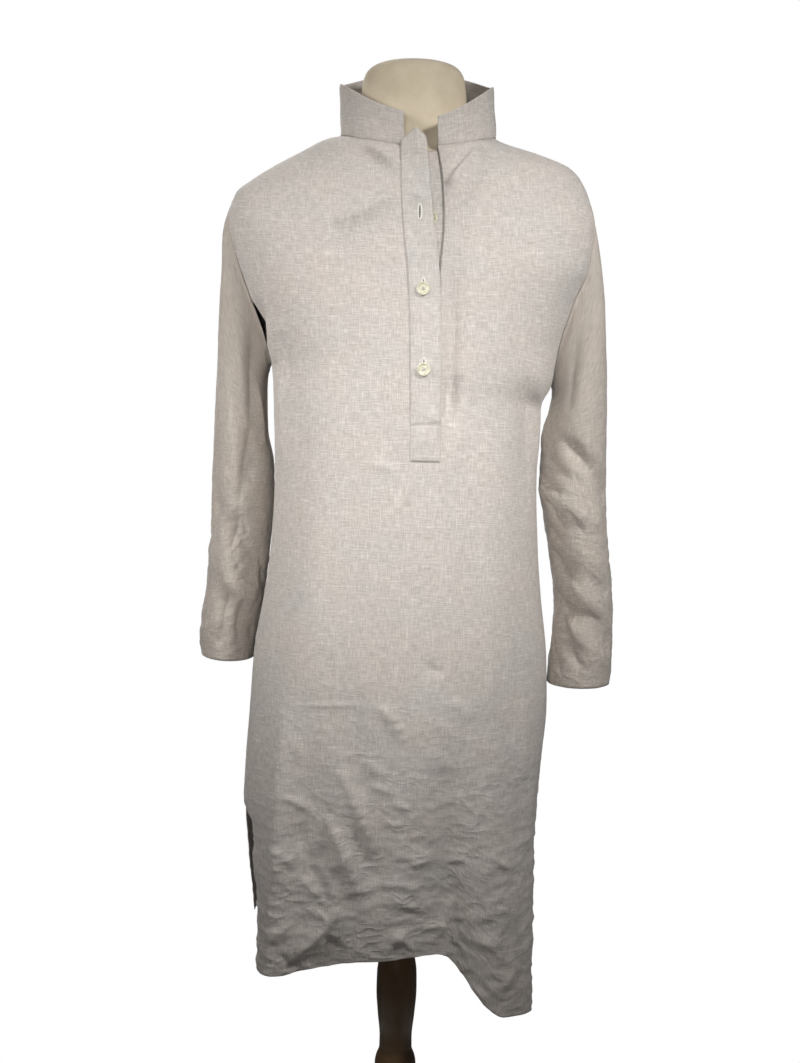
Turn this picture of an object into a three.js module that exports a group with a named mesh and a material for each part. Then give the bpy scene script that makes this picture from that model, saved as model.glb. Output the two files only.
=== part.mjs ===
// A linen smock dress worn by a limbless dress form, which stands on a turned wooden post and a round base.
// Millimetres. +X is the wearer's left, -Y is the front and +Z is up. The origin is on the floor, under the post.
// The cloth is a tube of cross-sections from hem to neck, cut into a front and a back at the side and shoulder
// seams and at the armholes. Each sleeve is lofted from its armhole, and the collar stands on the neckline.
import * as THREE from "three";

const CLOTH = 1.6; // wall of the linen, with its turnings
const COLLAR_CLOTH = 2.2; // two layers of linen round an interlining
const SEAM_GAP = 0.3;
const HEM = 430; // nominal height of the hem
const UNDERARM = 1130;
const SHOULDER_TIP = 1325;
const NECK = 1395;
const HEM_SWAY_TOP = 720; // the hem's rise and fall fades out by this height

const clamp = (v, low, high) => Math.min(high, Math.max(low, v));
const smooth = (t) => t * t * (3 - 2 * t);
const signedPower = (v, p) => Math.sign(v) * Math.pow(Math.abs(v), p);

// A table whose first column rises. Other columns are read at any height by monotone cubic interpolation.
function table(names, rows) {
  const keys = rows.map((row) => row[0]);
  const slopesOf = (column) => {
    const step = keys.slice(1).map((k, i) => (rows[i + 1][column] - rows[i][column]) / (k - keys[i]));
    return keys.map((_, i) => {
      if (i === 0) return step[0];
      if (i === keys.length - 1) return step[i - 1];
      return step[i - 1] * step[i] <= 0 ? 0 : (2 * step[i - 1] * step[i]) / (step[i - 1] + step[i]);
    });
  };
  const slopes = names.map((_, column) => slopesOf(column));
  return (key) => {
    const at = clamp(key, keys[0], keys[keys.length - 1]);
    const i = clamp(keys.findIndex((k) => k > at) - 1, 0, keys.length - 2);
    const last = at >= keys[keys.length - 1] ? keys.length - 2 : i;
    const span = keys[last + 1] - keys[last];
    const t = (at - keys[last]) / span;
    const read = {};
    names.forEach((name, column) => {
      const [a, b] = [rows[last][column], rows[last + 1][column]];
      const [ma, mb] = [slopes[column][last] * span, slopes[column][last + 1] * span];
      read[name] = a + t * ma + t * t * (3 * (b - a) - 2 * ma - mb) + t * t * t * (ma + mb - 2 * (b - a));
    });
    return read;
  };
}

// The dress's cross-sections. left and right are where the side or shoulder seams lie, front and back are depths
// from the seams' plane, and squareness is the exponent of a superellipse, 2 for an ellipse.
// drop lowers a section's front, rise lifts its back, and sag lowers its right side.
const bodySection = table(
  ["height", "left", "right", "front", "back", "squareness", "drop", "rise", "sag"],
  [
    [430, -181, 160, 108, 106, 2.3, 0, 0, 0],
    [530, -187, 162, 112, 108, 2.3, 0, 0, 0],
    [620, -190, 165, 116, 110, 2.3, 0, 0, 0],
    [725, -184, 175, 119, 112, 2.3, 0, 0, 0],
    [785, -180, 173, 121, 112, 2.3, 0, 0, 0],
    [860, -168, 164, 123, 108, 2.3, 0, 0, 0],
    [915, -161, 159, 125, 103, 2.3, 0, 0, 0],
    [1000, -157, 155, 128, 98, 2.35, 0, 0, 0],
    [1090, -159, 155, 131, 100, 2.4, 0, 0, 10],
    [1130, -162, 169, 131, 103, 2.5, 0, 0, 20],
    [1163, -172, 176, 130, 106, 2.6, 1, 0, 16],
    [1211, -193, 195, 127, 109, 2.7, 4, 0, 8],
    [1250, -207, 212, 123, 109, 2.8, 7, 1, 3],
    [1290, -216, 216, 116, 106, 2.7, 11, 4, 0],
    [1325, -207, 208, 108, 99, 2.5, 15, 8, 0],
    [1345, -184.5, 200, 101, 92, 2.3, 17, 12, 0],
    [1362, -157, 186, 94, 84, 2.2, 19, 15, 0],
    [1378, -128, 147, 87, 75, 2.1, 20, 18, 0],
    [1391, -103, 104, 81, 66, 2.1, 20, 20, 0],
    [1395, -85, 97, 78, 62, 2.1, 20, 20, 0],
  ],
);

// Heights of the rows of cloth. The armhole's rows follow a cosine, so that its edge is evenly divided.
const ARMHOLE_STEPS = 9;
const skirtRows = [430, 446, 468, 494, 522, 550, 578, 606, 638, 672, 708, 746, 790, 836, 882, 930, 978, 1022, 1056, 1090];
const armholeRows = Array.from(
  { length: ARMHOLE_STEPS + 1 },
  (_, i) => UNDERARM + ((1 - Math.cos((Math.PI * i) / ARMHOLE_STEPS)) / 2) * (SHOULDER_TIP - UNDERARM),
);
const shoulderRows = [1336, 1346, 1355, 1364, 1373, 1382, 1390, 1395];
const ROWS = [...skirtRows, ...armholeRows, ...shoulderRows];
const UNDERARM_ROW = skirtRows.length;
const TIP_ROW = UNDERARM_ROW + ARMHOLE_STEPS;

// Angle round a section: 0 at the left seam, a quarter turn at the centre front, a half turn at the right seam,
// and on through the centre back.
function tubePoint(angle, height) {
  const ring = bodySection(height);
  const [c, s] = [Math.cos(angle), Math.sin(angle)];
  const power = 2 / ring.squareness;
  const half = (ring.right - ring.left) / 2;
  const depth = s >= 0 ? ring.front : ring.back;
  return new THREE.Vector3(
    (ring.left + ring.right) / 2 - half * signedPower(c, power),
    -depth * signedPower(s, power),
    height + (s >= 0 ? -ring.drop : ring.rise) * s * s - (c < 0 ? ring.sag * c * c : 0),
  );
}

// The outward normal of a surface of an angle and a height, by small steps each way.
function normalOf(surface, angle, height) {
  const [turn, step] = [2e-3, 0.4];
  const [low, high] = [Math.max(HEM, height - step), Math.min(NECK, height + step)];
  const across = surface(angle + turn, height).sub(surface(angle - turn, height));
  const up = surface(angle, high).sub(surface(angle, low));
  return across.cross(up).normalize();
}

// Angle on the front at which a section has this depth from the seams' plane, or passes this x.
function angleAtDepth(depth, height, onFront) {
  const ring = bodySection(height);
  return Math.asin(Math.pow(Math.abs(depth) / (onFront ? ring.front : ring.back), ring.squareness / 2));
}
function angleAtX(x, height) {
  const ring = bodySection(height);
  const share = (2 * x - ring.left - ring.right) / (ring.right - ring.left);
  return Math.acos(clamp(-signedPower(share, ring.squareness / 2), -1, 1));
}

// How far the armhole's edge stands in front of and behind the seams' plane.
const ARMHOLE_DEPTH = { front: 54, back: 58 };
function armholeDepth(height, side) {
  const t = (height - UNDERARM) / (SHOULDER_TIP - UNDERARM);
  if (t <= 0 || t >= 1) return SEAM_GAP / 2;
  return Math.max(SEAM_GAP / 2, ARMHOLE_DEPTH[side] * 2 * Math.sqrt(t * (1 - t)));
}

// Folds, each a soft ridge (depth above 0) or trough along a line from one place to another, in the plane of the
// front or back. A fold is deepest halfway along its line, so one that reaches the hem is given a line past it.
const foldRows = (rows) =>
  rows.map(([x1, z1, x2, z2, width, depth]) => ({ x1, z1, x2, z2, width, depth }));
const frontFolds = foldRows([
  // x1, z1, x2, z2, width, depth
  [-132, 770, -162, 130, 17, 10],
  [46, 720, 96, 130, 26, -14],
  [116, 720, 124, 130, 30, 9],
  [-70, 1374, -8, 1318, 11, -4],
  [84, 1372, 38, 1290, 12, 5],
  [52, 1300, 50, 1040, 10, -6],
  [-104, 700, -70, 400, 24, -7],
  [-60, 760, -24, 480, 22, -6],
  [20, 790, 44, 520, 25, 5],
  [-2, 600, -16, 360, 22, 5],
  [-95, 1130, -112, 740, 26, 5],
  [98, 1130, 110, 720, 28, 6],
  [126, 1160, 134, 960, 12, -5],
]);
const backFolds = foldRows([
  [-80, 1260, -104, 200, 26, -8],
  [86, 1260, 108, 200, 26, -8],
  [2, 1200, 6, 200, 32, 7],
  [-42, 980, -30, 200, 20, -6],
  [48, 960, 56, 200, 20, -6],
  [-138, 900, -156, 300, 20, 6],
  [134, 900, 142, 300, 20, 6],
]);
function foldDepth(folds, x, z) {
  return folds.reduce((sum, fold) => {
    const [dx, dz] = [fold.x2 - fold.x1, fold.z2 - fold.z1];
    const t = clamp(((x - fold.x1) * dx + (z - fold.z1) * dz) / (dx * dx + dz * dz), 0, 1);
    const away = Math.hypot(x - fold.x1 - t * dx, z - fold.z1 - t * dz) / fold.width;
    return sum + fold.depth * Math.exp(-away * away) * 4 * t * (1 - t);
  }, 0);
}

// Hem lines. The front's hem is highest at its peak, right of the middle. From there it falls in a curve to the
// left corner, over the left width, and steeply over a short way to the right corner. The back's slopes evenly.
const FRONT_HEM = {
  peak: 33,
  height: 448.7,
  leftFall: 30.5,
  leftWidth: 170,
  leftCurve: 1.48,
  rightFall: 75.5,
  fallsFrom: 41,
  fallWidth: 86,
};
const BACK_HEM = { middle: 439, slope: -0.03 };
const frontHem = (x) => {
  const left = Math.pow(clamp((FRONT_HEM.peak - x) / FRONT_HEM.leftWidth, 0, 1), FRONT_HEM.leftCurve);
  const right = smooth(clamp((x - FRONT_HEM.fallsFrom) / FRONT_HEM.fallWidth, 0, 1));
  return FRONT_HEM.height - FRONT_HEM.leftFall * left - FRONT_HEM.rightFall * right;
};
const backHem = (x) => BACK_HEM.middle + BACK_HEM.slope * x;

// The side vents: how far the front's edges swing forward and the back's swing back, and how far the front's left
// edge has moved to the right. They close at the last row.
const vent = table(
  ["height", "forward", "back", "shift"],
  [
    [430, 54, 42, 17],
    [475, 38, 32, 19],
    [522, 20, 18, 15],
    [578, 6, 6, 12],
    [606, 0, 0, 0],
  ],
);

// A panel's point: the tube's, moved out or in by the folds, which fade at the side seams, and then by the hem's
// rise and fall and by the vents.
const FOLD_FADE = 0.04;
function panelPoint(angle, height, folds, hem, isFront) {
  const point = tubePoint(angle, height);
  const [c, s] = [Math.cos(angle), Math.sin(angle)];
  const fade = (s * s) / (s * s + FOLD_FADE);
  point.addScaledVector(normalOf(tubePoint, angle, height), foldDepth(folds, point.x, point.z) * fade);
  const sway = clamp((HEM_SWAY_TOP - height) / (HEM_SWAY_TOP - HEM), 0, 1) ** 2;
  const edge = c ** 4;
  point.z += (hem(point.x) - HEM) * sway;
  point.x += isFront && c > 0 ? vent(height).shift * edge : 0;
  point.y += (isFront ? -vent(height).forward : vent(height).back) * edge;
  return point;
}
const frontPoint = (angle, height) => panelPoint(angle, height, frontFolds, frontHem, true);
const backPoint = (angle, height) => panelPoint(angle, height, backFolds, backHem, false);

// A closed wall between two grids of points, outer and inner, which have the same rows and columns. wrap joins
// the last column to the first, and a cell for which isOpen is true is left out, with its edges closed.
function wallBetween(outer, inner, { wrap = false, flip = false, isOpen = () => false } = {}) {
  const [rows, columns] = [outer.length - 1, wrap ? outer[0].length : outer[0].length - 1];
  const next = (column) => (column + 1) % outer[0].length;
  const kept = (row, column) => {
    const inColumns = wrap || (column >= 0 && column < columns);
    return row >= 0 && row < rows && inColumns && !isOpen(row, (column + columns) % columns);
  };
  const positions = [];
  const face = (...corners) => {
    const order = flip ? [0, 2, 1, 0, 3, 2] : [0, 1, 2, 0, 2, 3];
    order.forEach((i) => positions.push(...corners[i].toArray()));
  };
  for (let r = 0; r < rows; r++) {
    for (let c = 0; c < columns; c++) {
      if (!kept(r, c)) continue;
      const n = next(c);
      face(outer[r][c], outer[r][n], outer[r + 1][n], outer[r + 1][c]);
      face(inner[r][c], inner[r + 1][c], inner[r + 1][n], inner[r][n]);
      if (!kept(r - 1, c)) face(inner[r][c], inner[r][n], outer[r][n], outer[r][c]);
      if (!kept(r + 1, c)) face(outer[r + 1][c], outer[r + 1][n], inner[r + 1][n], inner[r + 1][c]);
      if (!kept(r, c - 1)) face(inner[r][c], outer[r][c], outer[r + 1][c], inner[r + 1][c]);
      if (!kept(r, c + 1)) face(outer[r][n], inner[r][n], inner[r + 1][n], outer[r + 1][n]);
    }
  }
  return new THREE.BufferGeometry().setAttribute("position", new THREE.Float32BufferAttribute(positions, 3));
}

// A closed solid over rings of points, each ring the same length, with a fan on the first and the last.
function solidThrough(rings) {
  const positions = [];
  const middle = (ring) => ring.reduce((sum, p) => sum.add(p), new THREE.Vector3()).divideScalar(ring.length);
  const triangle = (a, b, c) => positions.push(...a.toArray(), ...b.toArray(), ...c.toArray());
  const count = rings[0].length;
  const [foot, head] = [middle(rings[0]), middle(rings[rings.length - 1])];
  for (let i = 0; i < count; i++) {
    const n = (i + 1) % count;
    triangle(foot, rings[0][n], rings[0][i]);
    triangle(head, rings[rings.length - 1][i], rings[rings.length - 1][n]);
    for (let r = 0; r + 1 < rings.length; r++) {
      triangle(rings[r][i], rings[r][n], rings[r + 1][n]);
      triangle(rings[r][i], rings[r + 1][n], rings[r + 1][i]);
    }
  }
  return new THREE.BufferGeometry().setAttribute("position", new THREE.Float32BufferAttribute(positions, 3));
}

// The front opening, by height: where the upper strip's stitched edge and free edge lie, how far the free edge
// stands off, and the slit's right edge. The slit's left edge is one lap inside the strip's stitched edge.
const LAP = 4;
const OPENING_FOOT = 1022;
const opening = table(
  ["height", "stitched", "free", "standOff", "slitRight"],
  [
    [OPENING_FOOT, 3, 36.5, 0, 32.5],
    [1096, 2.2, 36, 0, 32],
    [1171, 0, 35.3, 0, 31.3],
    [1232, -3, 31.8, 1.2, 31.8],
    [1300, -10, 23.5, 7, 35.5],
    [1355, -12.5, 18, 10, 33],
    [1395, -13.5, 14, 12, 27],
  ],
);
const SLIT_BOTTOM_ROW = ROWS.findIndex((height) => height > OPENING_FOOT);

// Columns of the front: across the left part, the left lap, the slit, the right lap and the right part.
const FRONT_COLUMNS = { left: 12, slit: 3, right: 12 };
const SLIT_COLUMN = FRONT_COLUMNS.left + 1;
const evenly = (from, to, count) => Array.from({ length: count }, (_, i) => from + ((to - from) * i) / count);

function frontAngles(height) {
  const edge = angleAtDepth(armholeDepth(height, "front"), height, true);
  const { stitched, slitRight } = opening(height);
  const [lapLeft, slitStart, slitEnd, lapRight] = [stitched, stitched + LAP, slitRight, slitRight + LAP].map((x) =>
    angleAtX(x, height),
  );
  return [
    ...evenly(edge, lapLeft, FRONT_COLUMNS.left),
    lapLeft,
    ...evenly(slitStart, slitEnd, FRONT_COLUMNS.slit),
    slitEnd,
    ...evenly(lapRight, Math.PI - edge, FRONT_COLUMNS.right),
    Math.PI - edge,
  ];
}

const BACK_COLUMNS = 26;
function backAngles(height) {
  const edge = angleAtDepth(armholeDepth(height, "back"), height, false);
  return [...evenly(Math.PI + edge, 2 * Math.PI - edge, BACK_COLUMNS), 2 * Math.PI - edge];
}

// The outer and inner points of a panel, row by row.
function panelGrids(surface, anglesAt) {
  const outer = ROWS.map((height) => anglesAt(height).map((angle) => surface(angle, height)));
  const inner = ROWS.map((height, r) =>
    anglesAt(height).map((angle, c) =>
      outer[r][c].clone().addScaledVector(normalOf(surface, angle, height), -CLOTH),
    ),
  );
  return { outer, inner };
}
const front = panelGrids(frontPoint, frontAngles);
const back = panelGrids(backPoint, backAngles);

function frontPanel() {
  const isOpen = (row, column) =>
    row >= SLIT_BOTTOM_ROW && column >= SLIT_COLUMN && column < SLIT_COLUMN + FRONT_COLUMNS.slit;
  return wallBetween(front.outer, front.inner, { isOpen });
}
const backPanel = () => wallBetween(back.outer, back.inner);

// Sleeve sections, from the armhole to the cuff. Each is a tilted oval between an outer and an inner point of the
// sleeve's outline from the front, with the depth of its middle and half its depth. keep is the share that is
// left of the armhole's own form.
const sleeveNames = ["outerX", "outerZ", "innerX", "innerZ", "middleY", "halfDepth", "keep"];
const sleeveRows = (rows) =>
  rows.map((row) => Object.fromEntries(row.map((value, i) => [sleeveNames[i], value])));
const sleeveSections = {
  left: sleeveRows([
    [-207, 1325, -162, 1130, 2, 56, 1],
    [-216, 1300, -164, 1126, 3, 58, 0.9],
    [-218.5, 1265, -166, 1121, 5, 60, 0.74],
    [-222.5, 1225, -168, 1113, 8, 62, 0.56],
    [-226.5, 1180, -169, 1100, 11, 63, 0.36],
    [-229, 1124, -169, 1078, 14, 63, 0.16],
    [-232, 1072, -168, 1050, 17, 63, 0.04],
    [-235, 1014, -160.6, 1011, 20, 62, 0],
    [-237, 962, -159.4, 966, 23, 61, 0],
    [-238.5, 910, -162.2, 918, 25, 60, 0],
    [-244, 858, -168.4, 868, 26, 58, 0],
    [-249.5, 820, -175, 826, 26, 56, 0],
    [-251, 800, -180, 799, 26, 54, 0],
    [-248, 777, -182.5, 773, 26, 53, 0],
  ]),
  right: sleeveRows([
    [208, 1325, 169, 1110, 2, 56, 1],
    [216, 1290, 171, 1106, 2, 58, 0.9],
    [223, 1255, 172, 1102, 3, 60, 0.74],
    [229, 1215, 172, 1095, 4, 62, 0.56],
    [233, 1170, 170, 1084, 5, 63, 0.36],
    [237, 1112, 166, 1064, 7, 63, 0.16],
    [239, 1046, 161, 1028, 9, 62, 0.04],
    [241, 990, 159.5, 996, 10, 60, 0],
    [245, 938, 168, 938, 10, 57, 0],
    [251, 886, 177, 884, 10, 54, 0],
    [255, 838, 181, 840, 10, 51, 0],
    [256, 796, 178.5, 797, 10, 49, 0],
    [255, 772, 176.5, 772, 10, 48, 0],
    [253, 752, 176, 751, 10, 47, 0],
  ]),
};
// Sleeve folds, as ridges and troughs from one angle and height to another. Angle 0 is outermost, 90 the front.
const sleeveFoldNames = ["angle1", "z1", "angle2", "z2", "width", "depth"];
const sleeveFoldRows = (rows) =>
  rows.map((row) => Object.fromEntries(row.map((value, i) => [sleeveFoldNames[i], value])));
const sleeveFolds = {
  left: sleeveFoldRows([
    [40, 960, 130, 900, 14, -5],
    [30, 905, 120, 850, 13, 4],
    [60, 860, 150, 815, 12, -5],
    [215, 980, 300, 930, 16, -5],
    [235, 880, 320, 840, 14, 4],
    [80, 1160, 110, 1010, 16, -4],
  ]),
  right: sleeveFoldRows([
    [100, 1035, 30, 985, 13, -5],
    [160, 985, 60, 950, 14, 5],
    [150, 900, 50, 870, 13, -5],
    [130, 845, 40, 805, 12, -5],
    [215, 1010, 300, 960, 16, -5],
    [220, 860, 310, 830, 14, -4],
  ]),
};
const SLEEVE_FOLD_RADIUS = 52; // turns an angle round the sleeve into a length
const UNDERARM_STAND_OFF = 0.7;

function sleeveFoldDepth(folds, degrees, z) {
  return folds.reduce((sum, fold) => {
    const scale = (SLEEVE_FOLD_RADIUS * Math.PI) / 180;
    const [dx, dz] = [(fold.angle2 - fold.angle1) * scale, fold.z2 - fold.z1];
    const x = (degrees - fold.angle1) * scale;
    const t = clamp((x * dx + (z - fold.z1) * dz) / (dx * dx + dz * dz), 0, 1);
    const away = Math.hypot(x - t * dx, z - fold.z1 - t * dz) / fold.width;
    return sum + fold.depth * Math.exp(-away * away);
  }, 0);
}

// The armhole's edge as a ring that starts at the shoulder tip and goes down the front and up the back, with the
// panels' own normals.
function armholeRing(side) {
  const heights = ROWS.slice(UNDERARM_ROW, TIP_ROW + 1).reverse();
  const point = (height, onFront, depth) => {
    const turn = angleAtDepth(depth, height, onFront);
    const signed = onFront ? turn : -turn;
    const angle = side === "left" ? signed : Math.PI - signed;
    const panel = depth === 0 ? tubePoint : onFront ? frontPoint : backPoint;
    return { at: panel(angle, height), normal: normalOf(panel, angle, height) };
  };
  const down = heights.map((h, i) =>
    point(h, true, i === 0 || i === ARMHOLE_STEPS ? 0 : armholeDepth(h, "front")),
  );
  const up = heights.slice(1, -1).reverse().map((h) => point(h, false, armholeDepth(h, "back")));
  return [...down, ...up];
}

function sleeve(side) {
  const edge = armholeRing(side);
  const count = edge.length;
  const centre = edge.reduce((sum, e) => sum.add(e.at), new THREE.Vector3()).divideScalar(count);
  // Over the shoulder the sleeve carries on from the panels. At the underarm it turns back down, so there its
  // seam stands out from them and its wall faces the other way.
  const under = edge.map((_, k) => smooth((1 - Math.cos((2 * Math.PI * k) / count)) / 2));
  const seam = edge.map((e, k) => {
    const along = edge[(k + 1) % count].at.clone().sub(edge[(k + count - 1) % count].at);
    const inward = along.cross(e.normal).normalize();
    if (inward.dot(centre.clone().sub(e.at)) < 0) inward.negate();
    return e.at.clone().addScaledVector(inward, SEAM_GAP).addScaledVector(e.normal, UNDERARM_STAND_OFF * under[k]);
  });
  const oval = (section, k) => {
    const turn = (2 * Math.PI * k) / count;
    const outer = new THREE.Vector3(section.outerX, section.middleY, section.outerZ);
    const inner = new THREE.Vector3(section.innerX, section.middleY, section.innerZ);
    const middle = outer.clone().add(inner).divideScalar(2);
    const reach = outer.sub(inner).divideScalar(2);
    return middle
      .addScaledVector(reach, Math.cos(turn))
      .add(new THREE.Vector3(0, -section.halfDepth * Math.sin(turn), 0));
  };
  const sections = sleeveSections[side];
  // Between two sections of the table the oval is read halfway too, so that the loft is smooth.
  const between = (a, b) => Object.fromEntries(sleeveNames.map((name) => [name, (a[name] + b[name]) / 2]));
  const steps = sections.flatMap((section, i) =>
    i === 0 || i > sections.length - 3 ? [section] : [section, between(section, sections[i + 1])],
  );
  const outer = steps.map((section, row) =>
    edge.map((_, k) => {
      if (row === 0) return seam[k];
      const change = seam[k].clone().sub(oval(sections[0], k));
      const at = oval(section, k).addScaledVector(change, section.keep);
      const radial = at.clone().sub(oval(section, 0).add(oval(section, count / 2)).divideScalar(2)).setZ(0);
      const depth = sleeveFoldDepth(sleeveFolds[side], (360 * k) / count, at.z) * (1 - section.keep);
      return at.addScaledVector(radial.normalize(), depth);
    }),
  );
  const facing = side === "left" ? 1 : -1;
  const inner = outer.map((ring, row) =>
    ring.map((at, k) => {
      const across = ring[(k + 1) % count].clone().sub(ring[(k + count - 1) % count]);
      const along = outer[Math.min(row + 1, outer.length - 1)][k].clone().sub(outer[Math.max(row - 1, 0)][k]);
      const normal = along.cross(across).normalize().multiplyScalar(facing);
      if (row === 0) normal.multiplyScalar(under[k]).addScaledVector(edge[k].normal, 1 - under[k]).normalize();
      return at.clone().addScaledVector(normal, -CLOTH);
    }),
  );
  return wallBetween(outer, inner, { wrap: true, flip: side === "left" });
}

// The stand collar: it rises from the neckline, from one edge of the slit round the back to the other. Its top is
// more angular than its foot, with flat fronts that turn at the sides.
const COLLAR_ROWS = 4;
const collarHeight = { leftEnd: 37, rightEnd: 31, side: 61.5, back: 69 };
const collarTopSquareness = { front: 1.5, back: 2.2 };
const collarTopSpread = { front: -3, back: 2 }; // how much further out the top is than the neckline
const COLLAR_LEAN = { left: -2, right: -4, leftEnd: -10, rightEnd: 11 };

function collar() {
  const ring = bodySection(NECK);
  // The collar's columns are those of the panels' top edges.
  const [across, around] = [frontAngles(NECK), backAngles(NECK)];
  const angles = [
    ...across.slice(SLIT_COLUMN + FRONT_COLUMNS.slit, -1),
    Math.PI,
    ...around.slice(1, -1),
    2 * Math.PI,
    ...across.slice(1, SLIT_COLUMN + 1).map((angle) => angle + 2 * Math.PI),
  ];
  const footAt = (angle) => {
    const panel = Math.sin(angle) > 0 ? frontPoint : backPoint;
    const at = panel(angle, NECK);
    return at.addScaledVector(at.clone().sub(panel(angle, NECK - 1)).normalize(), SEAM_GAP);
  };
  const topAt = (angle) => {
    const [c, s] = [Math.cos(angle), Math.sin(angle)];
    const isFront = s >= 0;
    const power = 2 / (isFront ? collarTopSquareness.front : collarTopSquareness.back);
    const depth = isFront ? ring.front + collarTopSpread.front : ring.back + collarTopSpread.back;
    const half = (ring.right - ring.left) / 2;
    const lean = c > 0 ? COLLAR_LEAN.left : COLLAR_LEAN.right;
    const endLean = isFront ? (c > 0 ? COLLAR_LEAN.leftEnd : COLLAR_LEAN.rightEnd) * s * s : 0;
    const frontEnd = c > 0 ? collarHeight.leftEnd : collarHeight.rightEnd;
    const end = isFront ? frontEnd : collarHeight.back;
    return new THREE.Vector3(
      (ring.left + ring.right) / 2 - half * signedPower(c, power) + lean * Math.abs(c) + endLean,
      -depth * signedPower(s, power),
      footAt(angle).z + collarHeight.side + (end - collarHeight.side) * (isFront ? s * s : -s),
    );
  };
  const outer = Array.from({ length: COLLAR_ROWS + 1 }, (_, row) =>
    angles.map((angle) => footAt(angle).lerp(topAt(angle), row / COLLAR_ROWS)),
  );
  const inner = outer.map((points, row) =>
    points.map((at, column) => {
      const along = points[Math.min(column + 1, points.length - 1)].clone().sub(points[Math.max(column - 1, 0)]);
      const up = outer[Math.min(row + 1, COLLAR_ROWS)][column].clone().sub(outer[Math.max(row - 1, 0)][column]);
      return at.clone().addScaledVector(along.cross(up).normalize(), -COLLAR_CLOTH);
    }),
  );
  return wallBetween(outer, inner);
}

// The placket's strips. Both are made from the front's own points on its own rows: the upper one moved out, and
// the lower one moved in behind the slit.
const LOWER_STRIP_WIDTH = 30;
const LOWER_STRIP_COLUMNS = 3;
const STRIP_PEAK = 12; // how far the middle of the upper strip's top edge stands above the neckline
const STRIP_CURL = 1.5; // above 1, the upper strip lifts mostly near its free edge
const STRIP_ROWS = ROWS.slice(SLIT_BOTTOM_ROW - 1);

function strip(rows, placesAt, offsetAt) {
  const points = (thickness) =>
    rows.map((height) => {
      const places = placesAt(height);
      return places.map((x, i) => {
        const share = i / (places.length - 1);
        const angle = angleAtX(x, height);
        const normal = normalOf(frontPoint, angle, height);
        const at = frontPoint(angle, height).addScaledVector(normal, offsetAt(height, share) + thickness);
        at.z += height === NECK ? STRIP_PEAK * Math.sin(Math.PI * share) : 0;
        return at;
      });
    });
  return wallBetween(points(CLOTH), points(0));
}
const upperStrip = () =>
  strip(
    STRIP_ROWS,
    (height) => {
      const { stitched, free } = opening(height);
      const [from, to] = [stitched + LAP, free - LAP];
      return [stitched, ...evenly(from, to, FRONT_COLUMNS.slit), to, free];
    },
    (height, share) => SEAM_GAP + opening(height).standOff * share ** STRIP_CURL,
  );
const lowerStrip = () =>
  strip(
    STRIP_ROWS.slice(0, -1),
    (height) => {
      const { slitRight } = opening(height);
      const hidden = slitRight + LAP - LOWER_STRIP_WIDTH;
      return [...evenly(hidden, slitRight, LOWER_STRIP_COLUMNS), slitRight, slitRight + LAP];
    },
    () => -2 * CLOTH - SEAM_GAP,
  );

// A four-hole shirt button, lying on the front at this place. level is how far its back is from the front.
const BUTTON = { radius: 7.5, thickness: 2.4, bevel: 0.5, sides: 24, holes: 4, holeRadius: 0.8, holeOut: 1.5, holeSides: 6 };
const circle = (x, y, radius, sides) =>
  evenly(0, 2 * Math.PI, sides).map((a) => new THREE.Vector2(x + radius * Math.cos(a), y + radius * Math.sin(a)));
function buttonAt(x, height, level) {
  const outline = new THREE.Shape(circle(0, 0, BUTTON.radius - BUTTON.bevel / 2, BUTTON.sides));
  for (let i = 0; i < BUTTON.holes; i++) {
    const turn = ((i + 0.5) * 2 * Math.PI) / BUTTON.holes;
    const [hx, hy] = [BUTTON.holeOut * Math.cos(turn), BUTTON.holeOut * Math.sin(turn)];
    outline.holes.push(new THREE.Path(circle(hx, hy, BUTTON.holeRadius, BUTTON.holeSides).reverse()));
  }
  const geometry = new THREE.ExtrudeGeometry(outline, {
    depth: BUTTON.thickness - 2 * BUTTON.bevel,
    bevelEnabled: true,
    bevelSize: BUTTON.bevel / 2,
    bevelThickness: BUTTON.bevel,
    bevelSegments: 1,
  });
  geometry.translate(0, 0, BUTTON.bevel);
  const angle = angleAtX(x, height);
  const normal = normalOf(frontPoint, angle, height);
  const at = frontPoint(angle, height).addScaledVector(normal, level);
  geometry.applyQuaternion(new THREE.Quaternion().setFromUnitVectors(new THREE.Vector3(0, 0, 1), normal));
  return geometry.translate(at.x, at.y, at.z);
}
const BUTTON_GAP = 0.15;
const ON_UPPER_STRIP = CLOTH + 2 * SEAM_GAP + BUTTON_GAP;
const ON_LOWER_STRIP = -CLOTH + BUTTON_GAP;

// The dress form. Its shoulders carry the dress, so they follow the inside of the cloth; lower down it draws in
// to a plain figure. Insets are from the cloth's inside, at the seams, the front and the back.
const FORM_COLUMNS = 28;
const formTorso = table(
  ["height", "side", "front", "back"],
  [
    [740, 34, 22, 16],
    [800, 24, 18, 12],
    [860, 18, 16, 10],
    [920, 22, 24, 12],
    [1000, 34, 38, 22],
    [1060, 30, 30, 20],
    [1120, 24, 12, 12],
    [1170, 34, 7, 10],
    [1230, 46, 9, 8],
    [1290, 38, 12, 7],
    [1325, 20, 12, 6],
    [1345, 5, 11, 5],
    [1362, 0.75, 9, 4],
    [1384, 0.75, 7, 4],
  ],
);
const formTorsoRows = [
  740, 770, 810, 860, 915, 970, 1030, 1090, 1150, 1205, 1255, 1300, 1330, 1346, 1357, 1366, 1375, 1384,
];
const neckRows = [
  // height, left, right, front, back, tilt
  [1388, -92, 102, -71, 61, 17],
  [1396, -73, 82, -64, 55, 17],
  [1405, -68, 72, -58, 54, 15],
  [1418, -64, 66, -53, 54, 11],
  [1434, -62, 62, -51, 54, 6],
  [1450, -61, 61, -50, 54, 2],
  [1466, -58, 58, -47, 52, 0],
  [1476.5, -49, 50, -39, 45, 0],
  [1482, -33, 34, -25, 31, 0],
  [1483.6, -15, 15, -8, 15, 0],
];
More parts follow.
